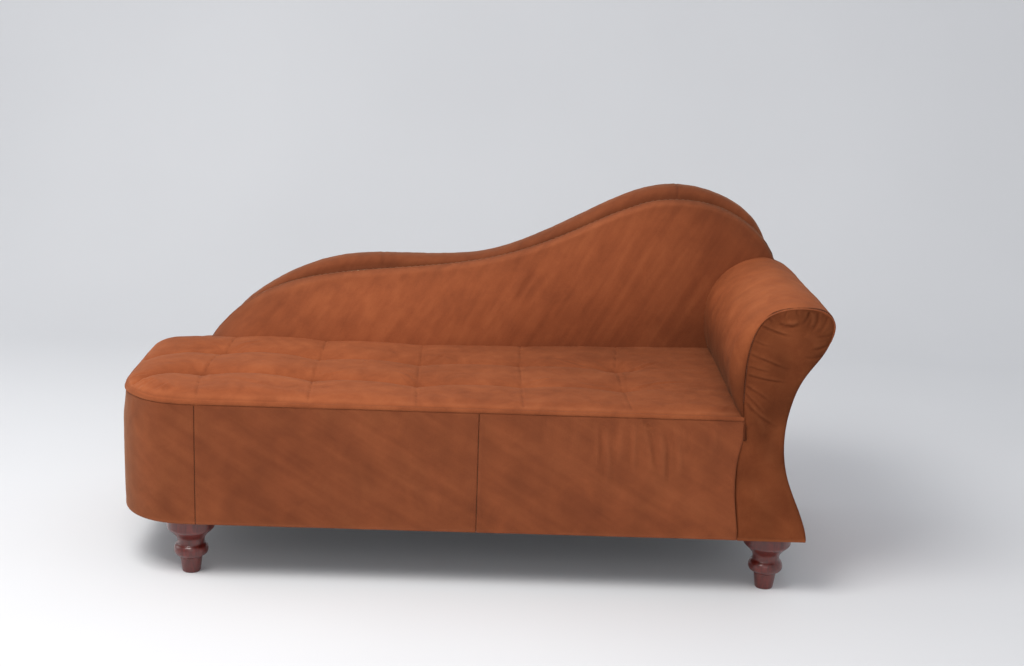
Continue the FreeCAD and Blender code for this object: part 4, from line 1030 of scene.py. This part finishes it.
def make_back_pad():
    ns, nt = 300, 84
    u = np.linspace(0, 1, ns)
    u = np.interp(u, [0, 0.06, 0.80, 0.93, 1], [0, 0.05, 0.80, 0.94, 1])
    T = PAD_P.at(u * PAD_P.length)
    bottom = Path([(-682, 424), (-600, 424), (0, 424), (500, 428), (700, 432)], straight=True)
    # the line below each point of the top
    bx = np.interp(u, [0, 0.05, 0.78, 1.0], [-682, -640, 560, 705])
    B = np.stack([bx, np.interp(bx, [-682, -590, -480], [402.0, 410.0, 424.0])], -1)
    t = np.concatenate([np.linspace(0, 0.86, nt - 18)[:-1],
                        0.86 + 0.14 * np.sin(np.linspace(0, math.pi / 2, 19))])
    X = B[:, None, 0] * (1 - t)[None] + T[:, None, 0] * t[None]
    Z = B[:, None, 1] * (1 - t)[None] + T[:, None, 1] * t[None]
    # distance to the outline
    q = PAD_P.q[::6]
    D = np.full(X.shape, 1e9)
    for k in range(len(q)):
        D = np.minimum(D, (X - q[k, 0]) ** 2 + (Z - q[k, 1]) ** 2)
    D = np.sqrt(D)
    zt = np.maximum(pad_top_at(X), 446.0)
    f = np.clip((Z - 446.0) / np.maximum(zt - 446.0, 12.0), 0, 1)
    yb = np.interp(X, [-700, -400, -100, 100, 350, 620, 780], [150, 148, 158, 180, 200, 212, 216])
    yt = np.interp(X, [-700, -300, 0, 400, 780], [216, 216, 220, 216, 214])
    y = yb + (yt - yb) * f ** 1.15 - 9.0 * np.sin(math.pi * f) * np.clip((zt - 446) / 220.0, 0.2, 1)
    th = 251.0 - y
    k = np.clip(1 - D / 13.0, 0, 1)
    edge = 0.95 * np.sqrt(np.maximum(1 - k ** 2.6, 0)) + 0.05 * ss(0, 42, D)
    # foot end: the pad comes round in plan
    ql = PAD_P.q[PAD_P.q[:, 0] < -420]
    xl = np.interp(Z, ql[:, 1], ql[:, 0])
    rl = np.interp(Z, [431, 500, 560, 620], [105, 85, 55, 40])
    kl = np.clip(1 - (X - xl) / rl, 0, 1)
    edge2 = np.where(X < -300, np.sqrt(np.maximum(1 - kl ** 2.0, 0)), 1.0)
    y = 251.0 - (0.6 + (19.5 + np.maximum(th - 20.1, 0.0) * edge2) * edge)
    p = np.stack([X, y, Z], -1)
    soft = ss(2, 40, D)
    w = soft * (1.6 * fbm(p, 190, 3, 81) + 0.30 * fbm(p, 40, 2, 85))
    ang = math.radians(62)
    lean = np.stack([(X * math.sin(ang) - Z * math.cos(ang)), (X * math.cos(ang) + Z * math.sin(ang)) / 6.5,
                     0 * X], -1)
    w = w + soft * 0.62 * noise3(lean, 30, 91) * (0.6 + 0.6 * noise3(p, 160, 95))
    w = w + fold(X, Z, [(95, 560), (118, 615), (150, 660)], 9.0, 1.5) * soft
    w = w + fold(X, Z, [(-120, 520), (-104, 560), (-80, 600)], 8.0, 0.9) * soft
    w = w + fold(X, Z, [(205, 640), (222, 690), (246, 725)], 9.0, 1.1) * soft
    w = w + fold(X, Z, [(20, 475), (60, 545), (75, 590)], 9.0, 1.0) * soft
    # gathers where it goes down behind the seat and beside the arm
    g = noise3(np.stack([X, 0 * X, 0 * X], -1), 24, 101) * np.exp(-(Z - 440) / 40.0)
    w = w + 1.0 * g
    outer = p.copy()
    outer[..., 1] = p[..., 1] - w
    inner = outer.copy()
    outer[..., 1] = np.minimum(outer[..., 1], 250.4)
    inner[..., 1] = np.minimum(np.maximum(outer[..., 1] + 8, 238.0), 250.9)
    # painted shade at the outline groove and along the bottom by the seat
    painted_shade = 0.60 * np.exp(-D / 2.2) + 0.35 * np.exp(-np.maximum(Z - 446, 0) / 14.0)
    # painted highlight just inside the outline
    painted_highlight = 0.10 * np.exp(-((D - 9) / 6.0) ** 2)
    # nap and painted shade: darker toward the arm, low down, at the foot end and near the outline
    nap_and_painted_shade = 0.26 * ss(330, 700, X) + 0.16 * ss(600, 470, Z) * ss(-200, 500, X) + 0.06 * ss(-200, -500, X)
    nap_and_painted_shade = nap_and_painted_shade + 0.10 * ss(60, 10, D) + 0.08 * ss(-250, -550, X)
    ob = shell("inside_back_pad", outer, inner, {"painted_crease_shade": np.clip(painted_shade, 0, 1), "painted_highlight": painted_highlight, "nap_and_painted_shade": nap_and_painted_shade})
    piece(ob, M_BACK, ("inside_back_cover", "inside_back_foam"))


make_back_pad()


def make_pad_return():
    """The pad's cloth where it turns over the edge of its board."""
    s = np.arange(2.0, PAD_P.length - 2.0, 4.0)
    base = PAD_P.at(s)
    n = PAD_P.right(s, 4.0)
    if n[len(s) // 2, 1] > 0:
        n = -n
    sec = [(9.0, 238.2), (4.2, 238.1), (3.0, 239.2), (2.8, 245.0), (3.0, 250.9), (3.8, 250.9), (3.7, 245.0),
           (3.7, 239.6), (4.6, 238.8), (9.0, 238.9)]
    P = np.zeros((len(s), len(sec), 3))
    for j, (d, y) in enumerate(sec):
        P[:, j, 0] = base[:, 0] + n[:, 0] * d
        P[:, j, 2] = base[:, 1] + n[:, 1] * d
        P[:, j, 1] = y
    ni, nj = P.shape[:2]
    idx = np.arange(ni * nj).reshape(ni, nj)
    j2 = np.roll(idx, -1, axis=1)
    faces = [np.stack([idx[:-1], idx[1:], j2[1:], j2[:-1]], -1).reshape(-1, 4)]
    caps = []
    for e, rev in ((0, False), (ni - 1, True)):
        row = idx[e]
        for k in range(nj // 2 - 1):
            q = [row[k], row[k + 1], row[nj - 2 - k], row[nj - 1 - k]]
            caps.append(q[::-1] if rev else q)
    F = np.concatenate(faces + [np.array(caps)])
    v = P.reshape(-1, 3)
    a, b, c, e = (v[F[:, k]] for k in range(4))
    vol = (np.einsum("ij,ij->i", a, np.cross(b, c)) + np.einsum("ij,ij->i", a, np.cross(c, e))).sum()
    if vol < 0:
        F = F[:, ::-1]
    # painted shade over the whole return, in the groove between pad and rim
    painted_shade = np.full((ni, nj), 0.55)
    ob = build("inside_back_pad_return", v, F, {"painted_crease_shade": painted_shade, "painted_highlight": 0 * painted_shade, "nap_and_painted_shade": 0 * painted_shade + 0.3})
    piece(ob, M_BACK)


make_pad_return()

# ----------------------------------------------------------------------- rim
RIM_SECTION = [(250.95, -56.0), (250.95, -46.0), (250.95, -38.0), (251.5, -34.6), (253.0, -31.5), (254.0, -27.0),
               (254.1, -22.0), (254.9, -16.0), (257.2, -10.4),
               (262.0, -5.8), (269.0, -2.6), (278.0, -0.7), (288.0, 0.0), (298.0, -0.2), (308.0, -1.3),
               (317.0, -3.6), (324.0, -7.2), (329.6, -12.0), (333.0, -17.5), (334.6, -24.0), (335.0, -31.0),
               (334.2, -36.0), (331.0, -40.0)]


def make_rim():
    L = RIM_P.length
    s = np.arange(0, L + 1, 5.0)
    base = RIM_P.at(s)
    inw = RIM_P.right(s, 14.0)
    base = base + inw * (5.0 * ss(165, 60, s))[:, None]
    sec = Path(RIM_SECTION)
    v = np.linspace(0, sec.length, 40)
    q = sec.at(v)
    P = np.zeros((len(s), len(v), 3))
    for j, (yy, dd) in enumerate(q):
        P[:, j, 0] = base[:, 0] + inw[:, 0] * -dd
        P[:, j, 2] = base[:, 1] + inw[:, 1] * -dd
        P[:, j, 1] = yy
    n = normals_of(P)
    if (n[:, 16, 2]).mean() < 0:
        n = -n
    amp = ss(12, 19, np.arange(len(v)))[None] * ss(0, 5, len(v) - 1 - np.arange(len(v)))[None]
    w = amp * (0.9 * fbm(P, 120, 3, 111) + 0.3 * fbm(P, 30, 2, 115))
    S = np.repeat(s[:, None], len(v), 1)
    # cloth joins across the rim, with painted shade along them
    painted_shade = np.zeros_like(S)
    for sx in (RIM_P.nearest_s((512, 869)), RIM_P.nearest_s((-240, 666))):
        d = np.abs(S - sx)
        w = w - 0.9 * np.exp(-(d / 3.0) ** 2) + 0.4 * np.exp(-((d - 7) / 4.0) ** 2)
        painted_shade = np.maximum(painted_shade, 0.5 * np.exp(-(d / 3.0) ** 2))
    # small gathers where it bends round the hump
    w = w + amp * 0.5 * noise3(np.stack([S, 0 * S, np.repeat(v[None], len(s), 0) / 5.0], -1), 14, 121)
    outer = P + n * w[..., None]
    z_low = np.where(outer[..., 0] < -600, 404.0, 140.0)
    outer[..., 2] = np.maximum(outer[..., 2], z_low)
    inner = P - n * 6.0
    inner[..., 2] = np.maximum(inner[..., 2], z_low)
    qv = np.array([a for a, _ in q])
    J = np.repeat(np.arange(len(v))[None], len(s), 0)
    # painted shade along the groove side and the rear edge
    painted_shade = np.maximum(painted_shade, 0.8 * ss(9, 4, J))
    painted_shade = np.maximum(painted_shade, 0.5 * ss(28, 32, J))
    # painted highlight along the crown
    painted_highlight = 0.15 * np.exp(-((J - 20) / 4.0) ** 2) * (0.6 + 0.5 * noise3(P, 60, 125))
    # nap and painted shade: the whole rim darker, with random tone
    nap_and_painted_shade = 0.36 + 0.08 * noise3(P, 200, 127)
    ob = shell("back_rim", outer, inner, {"painted_crease_shade": painted_shade, "painted_highlight": np.clip(painted_highlight, 0, 1), "nap_and_painted_shade": nap_and_painted_shade})
    piece(ob, M_BACK, ("rim_cover", "rim_foam"))


make_rim()


# ---------------------------------------------------------------------- arm
FAC = Path(FACING)
ROL = Path(ROLL)
S_LOW = FAC.nearest_s((628.2, 385))
S_NOTCH = FAC.nearest_s((790, 593))
S_APEX = FAC.nearest_s((731.7, 696.2))


def make_roll():
    nu = 190
    u = np.linspace(0, 1, nu)
    R = ROL.at(u * ROL.length)
    # matching points of the facing outline, by height on the way up and by share after
    F = FAC.at(S_LOW + (S_NOTCH - S_LOW) * u)
    c = np.array([715.0, 600.0])
    ys = np.concatenate([FRONT_Y + 0.2 + 44 * (1 - np.cos(np.linspace(0, math.pi / 2, 20))),
                         np.arange(-286, 226, 5.0), [229, 233, 237, 240, 244, 248, 250.6]])
    P = np.zeros((nu, len(ys), 3))
    for j, yy in enumerate(ys):
        q = np.clip((yy - FRONT_Y) / 44.0, 0, 1)
        e = math.sqrt(max(0.0, 1 - (1 - q) ** 2))
        e = 0.15 * q + 0.85 * e
        sec = F * (1 - e) + R * e
        P[:, j, 0] = sec[:, 0]
        P[:, j, 2] = sec[:, 1]
        P[:, j, 1] = yy
    n = normals_of(P)
    if n[75, 60, 2] < 0:
        n = -n
    Y = P[..., 1]
    U = np.repeat(u[:, None], len(ys), 1)
    slim = ss(735, 790, P[..., 0]) * ss(600, 660, P[..., 2]) * np.clip((Y + 150) / 370.0, 0, 1) ** 0.8
    P = P - n * (9.0 * slim)[..., None]
    amp = ss(0, 0.05, U) * ss(0, 0.05, 1 - U)
    w = amp * ss(-334, -300, Y) * (1.3 * fbm(P, 140, 3, 131) + 0.25 * fbm(P, 34, 2, 135))
    # bands across the roll from pulling the cloth
    w = w + amp * 0.7 * noise3(np.stack([U * 500 / 6.0, Y, 0 * Y], -1), 42, 141) * ss(-325, -280, Y)
    # gathers at the facing seam
    g = noise3(np.stack([U * ROL.length, 0 * Y, 0 * Y], -1), 12, 145)
    w = w + 0.9 * g * np.exp(-(Y + 335) / 20.0) * ss(-335, -330, Y) * ss(0.1, 0.3, U)
    # pulled in where it meets the padded back
    w = w - (5.0 - 3.5 * slim) * ss(208, 236, Y)
    # a fold low on the inner side by the seat
    w = w + fold(P[..., 1], P[..., 2], [(-300, 520), (-220, 470), (-130, 455)], 11.0, 2.2) * (U < 0.45)
    w = w + fold(P[..., 1], P[..., 2], [(-290, 565), (-240, 560), (-180, 575)], 7.0, 1.4) * (U < 0.45)
    w = w + fold(P[..., 1], P[..., 2], [(110, 500), (160, 470), (215, 462)], 11.0, 2.0) * (U < 0.45)
    outer = P + n * w[..., None]
    outer[..., 0] = np.minimum(outer[..., 0], 824.0)
    inner = P - n * 6.0
    # painted shade at the facing seam, where it meets the back and beside the seat
    painted_shade = np.clip(0.55 * np.exp(-(Y - FRONT_Y) / 1.6) + 0.6 * ss(222, 238, Y) + 0.8 * ss(0.10, 0.0, U), 0, 1)
    # painted highlight by the front seam and over the top of the roll
    painted_highlight = 0.15 * np.exp(-((Y + 318) / 12.0) ** 2) * (0.6 + 0.5 * noise3(P, 40, 151))
    painted_highlight = painted_highlight + 0.55 * ss(0.36, 0.58, U) * ss(0.95, 0.66, U) * (0.6 + 0.5 * noise3(P, 120, 155))
    # nap and painted shade: darker low on the inner side and at the outer end, with random tone
    nap_and_painted_shade = 0.08 * ss(0.60, 0.48, U) + 0.46 * ss(0.48, 0.20, U) + 0.22 * ss(0.86, 0.98, U)
    nap_and_painted_shade = nap_and_painted_shade + 0.12 * noise3(P * [1.0, 0.8, 1.0], 70, 149) * ss(0.02, 0.2, U)
    ob = shell("arm_roll", outer, inner, {"painted_crease_shade": painted_shade, "painted_highlight": np.clip(painted_highlight, 0, 1), "nap_and_painted_shade": nap_and_painted_shade})
    piece(ob, M_ARM, ("arm_roll_cover", "arm_roll_foam"))


make_roll()

FACING_CREASES = [  # start at the seam, end inside: (X, Z) points, depth, width
    ([(650, 655), (668, 648), (700, 637), (728, 631)], 3.0, 2.4),
    ([(628, 590), (640, 584), (668, 574), (704, 560), (730, 553)], 3.6, 2.4),
    ([(627, 560), (650, 553), (690, 546)], 1.6, 2.2),
    ([(626, 540), (650, 534), (690, 527), (728, 523)], 2.6, 2.3),
    ([(624, 516), (642, 504), (668, 488), (690, 470)], 2.8, 2.4),
    ([(624, 498), (640, 482), (660, 462), (676, 440)], 2.0, 2.2),
    ([(627, 478), (650, 452), (684, 428), (712, 412)], 3.0, 2.6),
    ([(634, 622), (655, 612), (690, 606)], 1.8, 2.2),
    ([(690, 664), (704, 657), (722, 656), (738, 663)], 3.0, 2.6),
    ([(757, 692), (753, 676), (740, 660)], 3.0, 2.6),
    ([(775, 692), (777, 676), (770, 655), (760, 640)], 2.4, 2.6),
    ([(798, 682), (792, 660), (780, 642)], 2.2, 2.6),
    ([(706, 692), (704, 682), (700, 674)], 1.6, 2.2),
    ([(728, 694), (730, 684), (736, 676)], 1.4, 2.2),
    ([(812, 640), (792, 634), (772, 636)], 1.6, 2.6),
    ([(806, 616), (784, 606), (764, 604)], 2.2, 2.6),
    ([(793, 590), (770, 584), (748, 588)], 1.6, 2.4),
    ([(660, 676), (672, 668), (680, 656)], 1.8, 2.2),
]
FACING_FOLDS = [
    ([(706, 668), (722, 664), (736, 670)], 6.0, 2.6),
    ([(764, 690), (766, 672), (760, 656)], 4.5, 1.8),
    ([(745, 640), (770, 625), (780, 600)], 12.0, 1.2),
    ([(652, 440), (668, 420), (675, 395)], 10.0, 1.0),
    ([(700, 400), (690, 360), (694, 320)], 14.0, 0.8),
    ([(650, 300), (680, 240), (720, 200)], 16.0, 0.9),
]


def make_facing():
    nt, nu = 330, 104
    t = np.linspace(0, 1, nt)
    s_l = np.interp(t, [0, 0.78, 1], [0, FAC.nearest_s((627, 583)), S_APEX])
    s_r = np.interp(t, [0, 0.78, 1], [FAC.length, FAC.nearest_s((783, 583)), S_APEX])
    Lp, Rp = FAC.at(s_l), FAC.at(s_r)
    e = 0.5 - 0.5 * np.cos(np.linspace(0, math.pi, nu))
    X = Lp[:, None, 0] * (1 - e)[None] + Rp[:, None, 0] * e[None]
    Z = Lp[:, None, 1] * (1 - e)[None] + Rp[:, None, 1] * e[None]
    Z = Z.copy()
    q = FAC.q[::5]
    D = np.full(X.shape, 1e9)
    for k in range(len(q)):
        D = np.minimum(D, (X - q[k, 0]) ** 2 + (Z - q[k, 1]) ** 2)
    D = np.sqrt(D)
    k = np.clip(1 - D / 9.0, 0, 1)
    tuck = (1.4 + 2.4 * ss(470, 430, Z)) * (1 - np.sqrt(np.maximum(1 - k * k, 0)))
    bulge = 4.5 * (1 - np.exp(-D / 26.0)) * (0.5 + 0.5 * ss(380, 520, Z))
    low_left = ss(441, 425, Z)
    w = bulge - tuck
    p = np.stack([X, 0 * X, Z], -1)
    soft = ss(1, 12, D)
    f = np.zeros_like(X)
    for pts, wd, h in FACING_FOLDS:
        f = f + fold(X, Z, pts, wd, h, 0.0, 0.28)
    shade = np.zeros_like(X)
    for pts, h, wd in FACING_CREASES:
        c, v = crease_line(X, Z, pts, h, wd)
        f = f + c
        shade = np.maximum(shade, v * min(1.0, h / 3.0))
    # gathers along the seam of the scroll
    ang_s = np.zeros_like(X)
    best = np.full(X.shape, 1e9)
    for kk in range(0, len(FAC.q), 6):
        d2 = (X - FAC.q[kk, 0]) ** 2 + (Z - FAC.q[kk, 1]) ** 2
        m = d2 < best
        best[m] = d2[m]
        ang_s[m] = FAC.s[kk]
    g = noise3(np.stack([ang_s, 0 * X, 0 * X], -1), 9.5, 161) * np.exp(-D / 15.0) * ss(440, 500, Z)
    w = w + 1.5 * g * ss(0.5, 6, D)
    w = w + ss(0, 4, D) * f + soft * (0.9 * fbm(p, 90, 3, 165) + 0.30 * fbm(p, 22, 2, 169))
    low = ss(152, 141, Z)
    Y = FRONT_Y + 1.2 - w * (1 - 0.8 * low)
    Y = np.maximum(Y, -345.0)
    X = X + side_line(Z) * ss(90, 4, X - 622.0) * ss(455, 445, Z)
    for j, (c, ss_) in enumerate(((0, s_l), (-1, s_r))):
        nrm = FAC.right(ss_, 5.0) * -1.0
        for jj, g in ((0, 2.6), (1, 1.0)):
            col = jj if c == 0 else nu - 1 - jj
            lim = ss(139, 150, Z[:, col])
            X[:, col] += nrm[:, 0] * g * lim
            Z[:, col] += nrm[:, 1] * g * lim
            Y[:, col] += (2.6, 0.6)[jj] * lim
    outer = np.stack([X, Y, Z], -1)
    inner = outer.copy()
    inner[..., 1] = np.maximum(outer[..., 1] + 5.0, FRONT_Y + 5.0)
    # painted shade at the outline and in the crease valleys
    painted_shade = np.clip(0.45 * np.exp(-D / 1.6) * ss(141, 150, Z) + 0.42 * shade, 0, 1)
    # painted highlight on fold ridges and at the bottom edge
    painted_highlight = np.clip(0.35 * np.clip(f / 2.5, 0, 1) + 0.4 * ss(150, 142, Z), 0, 1)
    # nap and painted shade: darker toward the outer side, lighter low down, with random tone
    nap_and_painted_shade = 0.44 + 0.10 * ss(690, 790, X) * ss(400, 560, Z) - 0.08 * ss(420, 200, Z)
    nap_and_painted_shade = nap_and_painted_shade + 0.14 * noise3(np.stack([X, Y, Z * 0.6], -1), 46, 173)
    ob = shell("arm_facing", outer, inner, {"painted_crease_shade": painted_shade, "painted_highlight": painted_highlight, "nap_and_painted_shade": nap_and_painted_shade})
    piece(ob, M_ARM, ("arm_facing_cover", "arm_facing_pad"))


make_facing()

# thread at the facing seam, on the scroll
ss_ = np.arange(FAC.nearest_s((625.0, 470)), S_NOTCH - 4, 3.0)
fp = FAC.at(ss_)
fo = -FAC.right(ss_, 4.0)
stitches("arm_seam_stitches",
         np.stack([fp[:, 0] + fo[:, 0] * 0.6, np.full(len(ss_), FRONT_Y + 1.0), fp[:, 1] + fo[:, 1] * 0.6], 1),
         5.2, 3.6, 0.45,
         np.stack([fo[:, 0] * 0.7, np.full(len(ss_), -0.6), fo[:, 1] * 0.7], 1))


def make_side():
    """Outside of the arm: one sheet from the facing to the back."""
    s = np.linspace(S_NOTCH - 2, FAC.length, 90)
    base = FAC.at(s)
    ys = np.concatenate([FRONT_Y + 2.5 + 5 * (1 - np.cos(np.linspace(0, math.pi / 2, 6))),
                         np.arange(-322, 246, 8.0), [248, 250.5, 252.5]])
    P = np.zeros((len(s), len(ys), 3))
    P[..., 0] = base[:, None, 0]
    P[..., 2] = base[:, None, 1]
    P[..., 1] = ys[None]
    out = FAC.right(s, 5.0) * -1.0
    n = np.zeros_like(P)
    n[..., 0] = out[:, None, 0]
    n[..., 2] = out[:, None, 1]
    Y, Z = P[..., 1], P[..., 2]
    w = ss(-333, -318, Y) * ss(251, 236, Y) * (1.1 * fbm(P, 150, 3, 181) + 0.3 * fbm(P, 36, 2, 185) - 1.0)
    w = w + fold(Y, Z, [(-300, 520), (-150, 420), (0, 330)], 16, 1.2) + fold(Y, Z, [(200, 520), (90, 430), (20, 360)], 15, 1.0)
    k = np.clip(1 - (Y - (FRONT_Y + 2.5)) / 5.0, 0, 1)
    w = w - 2.6 * (1 - np.sqrt(np.maximum(1 - k * k, 0))) - 2.2 * ss(244, 252, Y)
    outer = P + n * w[..., None]
    inner = P + n * (w - 2.5)[..., None]
    # painted shade at the front and back edges and at the notch height
    painted_shade = np.clip(0.6 * np.exp(-(Y - FRONT_Y - 2) / 2.5) + 0.6 * ss(246, 252, Y) + 0.7 * ss(580, 592, Z), 0, 1)
    # painted highlight along the bottom edge
    painted_highlight = 0.5 * np.exp(-(Z - 140) / 3.0)
    ob = shell("outside_arm_sheet", outer, inner, {"painted_crease_shade": painted_shade, "painted_highlight": painted_highlight})
    piece(ob, M_ARM, ("outside_arm_cover", "outside_arm_wadding"))


make_side()


# -------------------------------------------------------------- outside back
def make_outside_back():
    i_r = RIM_P.nearest_s((764, 664))
    i_l = RIM_P.nearest_s((-628, 500))
    parts = []
    top = RIM_P.at(np.linspace(i_l, i_r, 400)) + RIM_P.right(np.linspace(i_l, i_r, 400), 10) * 27
    right = RIM_P.at(np.linspace(RIM_P.length, i_r, 200)) + RIM_P.right(
        np.linspace(RIM_P.length, i_r, 200), 10) * 27
    top[0, 0] = -626.0
    Tp, Rp = Path(top, straight=True), Path(right, straight=True)
    Rp.q[0, 1] = 140.0
    Bp = Path([(-626, 140), Rp.q[0]], straight=True)
    Lp = Path([(-626, 140), tuple(top[0])], straight=True)
    s, t = np.linspace(0, 1, 230), np.linspace(0, 1, 90)
    xz = coons(on_path(Bp), on_path(Tp), on_path(Lp), on_path(Rp), s, t)

    def sheet_of(X, Z, seed):
        p = np.stack([X, 0 * X, Z], -1)
        S, T = np.meshgrid(np.linspace(0, 1, X.shape[0]), np.linspace(0, 1, X.shape[1]), indexing="ij")
        mid = ss(0, 0.05, S) * ss(0, 0.05, 1 - S) * ss(0, 0.06, T) * ss(0, 0.06, 1 - T)
        w = mid * (-1.6 + 1.4 * fbm(p, 260, 3, seed) + 0.25 * fbm(p, 50, 2, seed + 4))
        w = w + mid * (fold(X, Z, [(-560, 200), (-300, 330), (-120, 420)], 22, 1.3)
                       + fold(X, Z, [(640, 230), (520, 420), (470, 640)], 24, 1.4)
                       + fold(X, Z, [(-200, 180), (100, 300), (350, 420)], 26, 1.0))
        g = noise3(np.stack([X, 0 * X, 0 * X], -1), 18, seed + 9) * np.exp(-(1 - T) * 30) * 0.8
        Y = 333.2 + w + g * ss(0, 0.02, 1 - T) - 1.5 * ss(0.03, 0.0, 1 - T)
        outer = np.stack([X, np.minimum(Y, 338.0), Z], -1)
        inner = outer.copy()
        inner[..., 1] -= 2.0
        # painted shade along the top and the foot-end edge; painted highlight along the bottom
        painted_shade = np.clip(0.6 * ss(0.03, 0.0, 1 - T) + 0.5 * ss(0.01, 0.0, 1 - S), 0, 1)
        painted_highlight = 0.5 * ss(0.02, 0.0, T)
        return outer, inner, {"painted_crease_shade": painted_shade, "painted_highlight": painted_highlight}

    parts.append(sheet_of(xz[..., 0], xz[..., 1], 201))
    xs = np.linspace(-672, -625, 16)
    sp = RIM_P.at(np.linspace(0, i_l + 30, 200))
    X = np.repeat(xs[:, None], 14, 1)
    zt = np.interp(xs, sp[:, 0], sp[:, 1]) - 36
    zt = np.maximum(zt, 434.0)
    zt[-1] = top[0, 1]
    Z = 404.0 + (zt - 404.0)[:, None] * np.linspace(0, 1, 14)[None]
    outer = np.stack([X, 0 * X + 332.4, Z], -1)
    inner = outer - np.array([0, 2.0, 0])
    # painted shade over the whole foot-end strip
    parts.append((outer, inner, {"painted_crease_shade": 0.3 + 0 * X, "painted_highlight": 0 * X}))
    # turned under at the bottom
    xs = np.linspace(-624, 772, 200)
    rows = [(333.2, 140.2), (331.5, 139.8), (326.0, 139.9), (314.0, 140.3), (301.0, 140.6)]
    P = np.zeros((len(xs), len(rows), 3))
    for j, (yy, zz) in enumerate(rows):
        P[:, j] = np.stack([xs, 0 * xs + yy, 0 * xs + zz], -1)
    inner = P + np.array([0, 0, 1.2])
    # painted highlight over the turned-under strip
    parts.append((P, inner, {"painted_crease_shade": 0 * P[..., 0], "painted_highlight": 0 * P[..., 0] + 0.2}))
    ob = join_grids("outside_back_sheet", parts)
    piece(ob, M_BACK, ("outside_back_cover", "outside_back_wadding"))


make_outside_back()


# ---------------------------------------------------------------- dust cover
def make_dust():
    cf, cr = corner(36, -1), corner(36, 1)
    half = len(cf) // 2
    front = Path([*cf[half::-1], *[(x, -299) for x in range(-560, 740, 60)], (770, -299)])
    rear = Path([*cr[half::-1], *[(x, 299) for x in range(-560, 740, 60)], (770, 299)])
    left = Path([*cf[half:], (-784, 0), *cr[:half - 1:-1]])
    right = Path([(770, -299), (770, 0), (770, 299)], straight=True)
    xy = coons(on_path(front), on_path(rear), on_path(left), on_path(right),
               np.linspace(0, 1, 150), np.linspace(0, 1, 60))
    x, y = xy[..., 0], xy[..., 1]
    p = np.stack([x, y, 0 * x], -1)
    i, j = np.meshgrid(np.linspace(0, 1, 150), np.linspace(0, 1, 60), indexing="ij")
    mid = (np.sin(math.pi * i) * np.sin(math.pi * j)) ** 0.5
    for lx in (-647.0, 713.0):
        for ly in (-265.0, 265.0):
            mid = mid * (1 - np.exp(-((x - lx) ** 2 + (y - ly) ** 2) / 90.0 ** 2))
    z = 140.5 - mid * (2.2 + 1.4 * fbm(p, 160, 3, 221))
    z = np.minimum(z, 141.0)
    outer = np.stack([x, y, z], -1)
    inner = outer + np.array([0, 0, 1.0])
    ob = shell("dust_sheet", outer, inner, {"painted_crease_shade": 0 * x, "painted_highlight": 0 * x})
    piece(ob, SLOT_MATERIALS["dust_cloth"], ("dust_cover",))


make_dust()

# ------------------------------------------------- floor, lights and camera
floor_pts = [(-9.0, 0.0), (2.2, 0.0)]
prof = [(-9.0, 0.0), (1.2, 0.0), (1.9, 0.0)]
for a in np.linspace(0, math.pi / 2, 14):
    prof.append((1.9 + 1.6 * math.sin(a), 1.6 * (1 - math.cos(a))))
prof.append((3.5, 6.0))
verts, faces = [], []
for k, (yy, zz) in enumerate(prof):
    verts += [(-9000.0, yy * 1000, zz * 1000), (9000.0, yy * 1000, zz * 1000)]
    if k:
        b = 2 * k
        faces.append((b - 2, b - 1, b + 1, b))
stage = build("studio_sweep", np.array(verts), np.array(faces))
mst, nt, bs, obj = start("studio_paper")
nz = n_noise(nt, obj, 0.8, 2.0, 0.5)
nt.links.new(n_ramp(nt, nz, [(0.3, (0.765, 0.775, 0.795)), (0.7, (0.80, 0.81, 0.83))]), bs.inputs["Base Color"])
bs.inputs["Roughness"].default_value = 0.9
bs.inputs["Specular IOR Level"].default_value = 0.1
stage.data.materials.append(mst)

world = bpy.data.worlds.new("studio_world")
scene.world = world
world.use_nodes = True
wn = world.node_tree.nodes["Background"]
wn.inputs[0].default_value = (0.95, 0.965, 1.0, 1.0)
wn.inputs[1].default_value = 0.60


def area(name, loc, target, size, power, color, size_y=None):
    li = bpy.data.lights.new(name, "AREA")
    li.energy = power
    li.color = color
    li.size = size
    if size_y:
        li.shape = "RECTANGLE"
        li.size_y = size_y
    ob = bpy.data.objects.new(name, li)
    ob.location = loc
    d = Vector(target) - Vector(loc)
    ob.rotation_euler = d.to_track_quat("-Z", "Y").to_euler()
    scene.collection.objects.link(ob)
    return ob


area("key_softbox", (-1.1, -1.4, 2.9), (0.0, 0.0, 0.4), 1.6, 72.0, (1.0, 0.98, 0.95), 1.4)
area("front_fill", (0.2, -4.8, 2.2), (0.0, 0.0, 0.4), 3.0, 18.0, (1.0, 0.98, 0.96), 2.0)
area("left_fill", (-3.4, 0.4, 1.4), (-0.6, 0.0, 0.4), 1.6, 14.0, (1.0, 0.99, 0.97), 1.8)

yaw, pitch, roll = -0.015303, 0.250304, 0.034714
fwd = Vector((-math.sin(yaw) * math.cos(pitch), math.cos(yaw) * math.cos(pitch), -math.sin(pitch)))
rgt = Vector((math.cos(yaw), math.sin(yaw), 0.0))
up = rgt.cross(fwd)
r2 = math.cos(roll) * rgt + math.sin(roll) * up
u2 = -math.sin(roll) * rgt + math.cos(roll) * up
cam_data = bpy.data.cameras.new("camera")
cam_data.lens = 58.047
cam_data.sensor_width = 36.0
cam_data.sensor_fit = "HORIZONTAL"
cam = bpy.data.objects.new("camera", cam_data)
scene.collection.objects.link(cam)
cam.matrix_world = Matrix(((r2.x, u2.x, -fwd.x, 0.036973), (r2.y, u2.y, -fwd.y, -3.924461),
                           (r2.z, u2.z, -fwd.z, 1.538960), (0, 0, 0, 1)))
scene.camera = cam
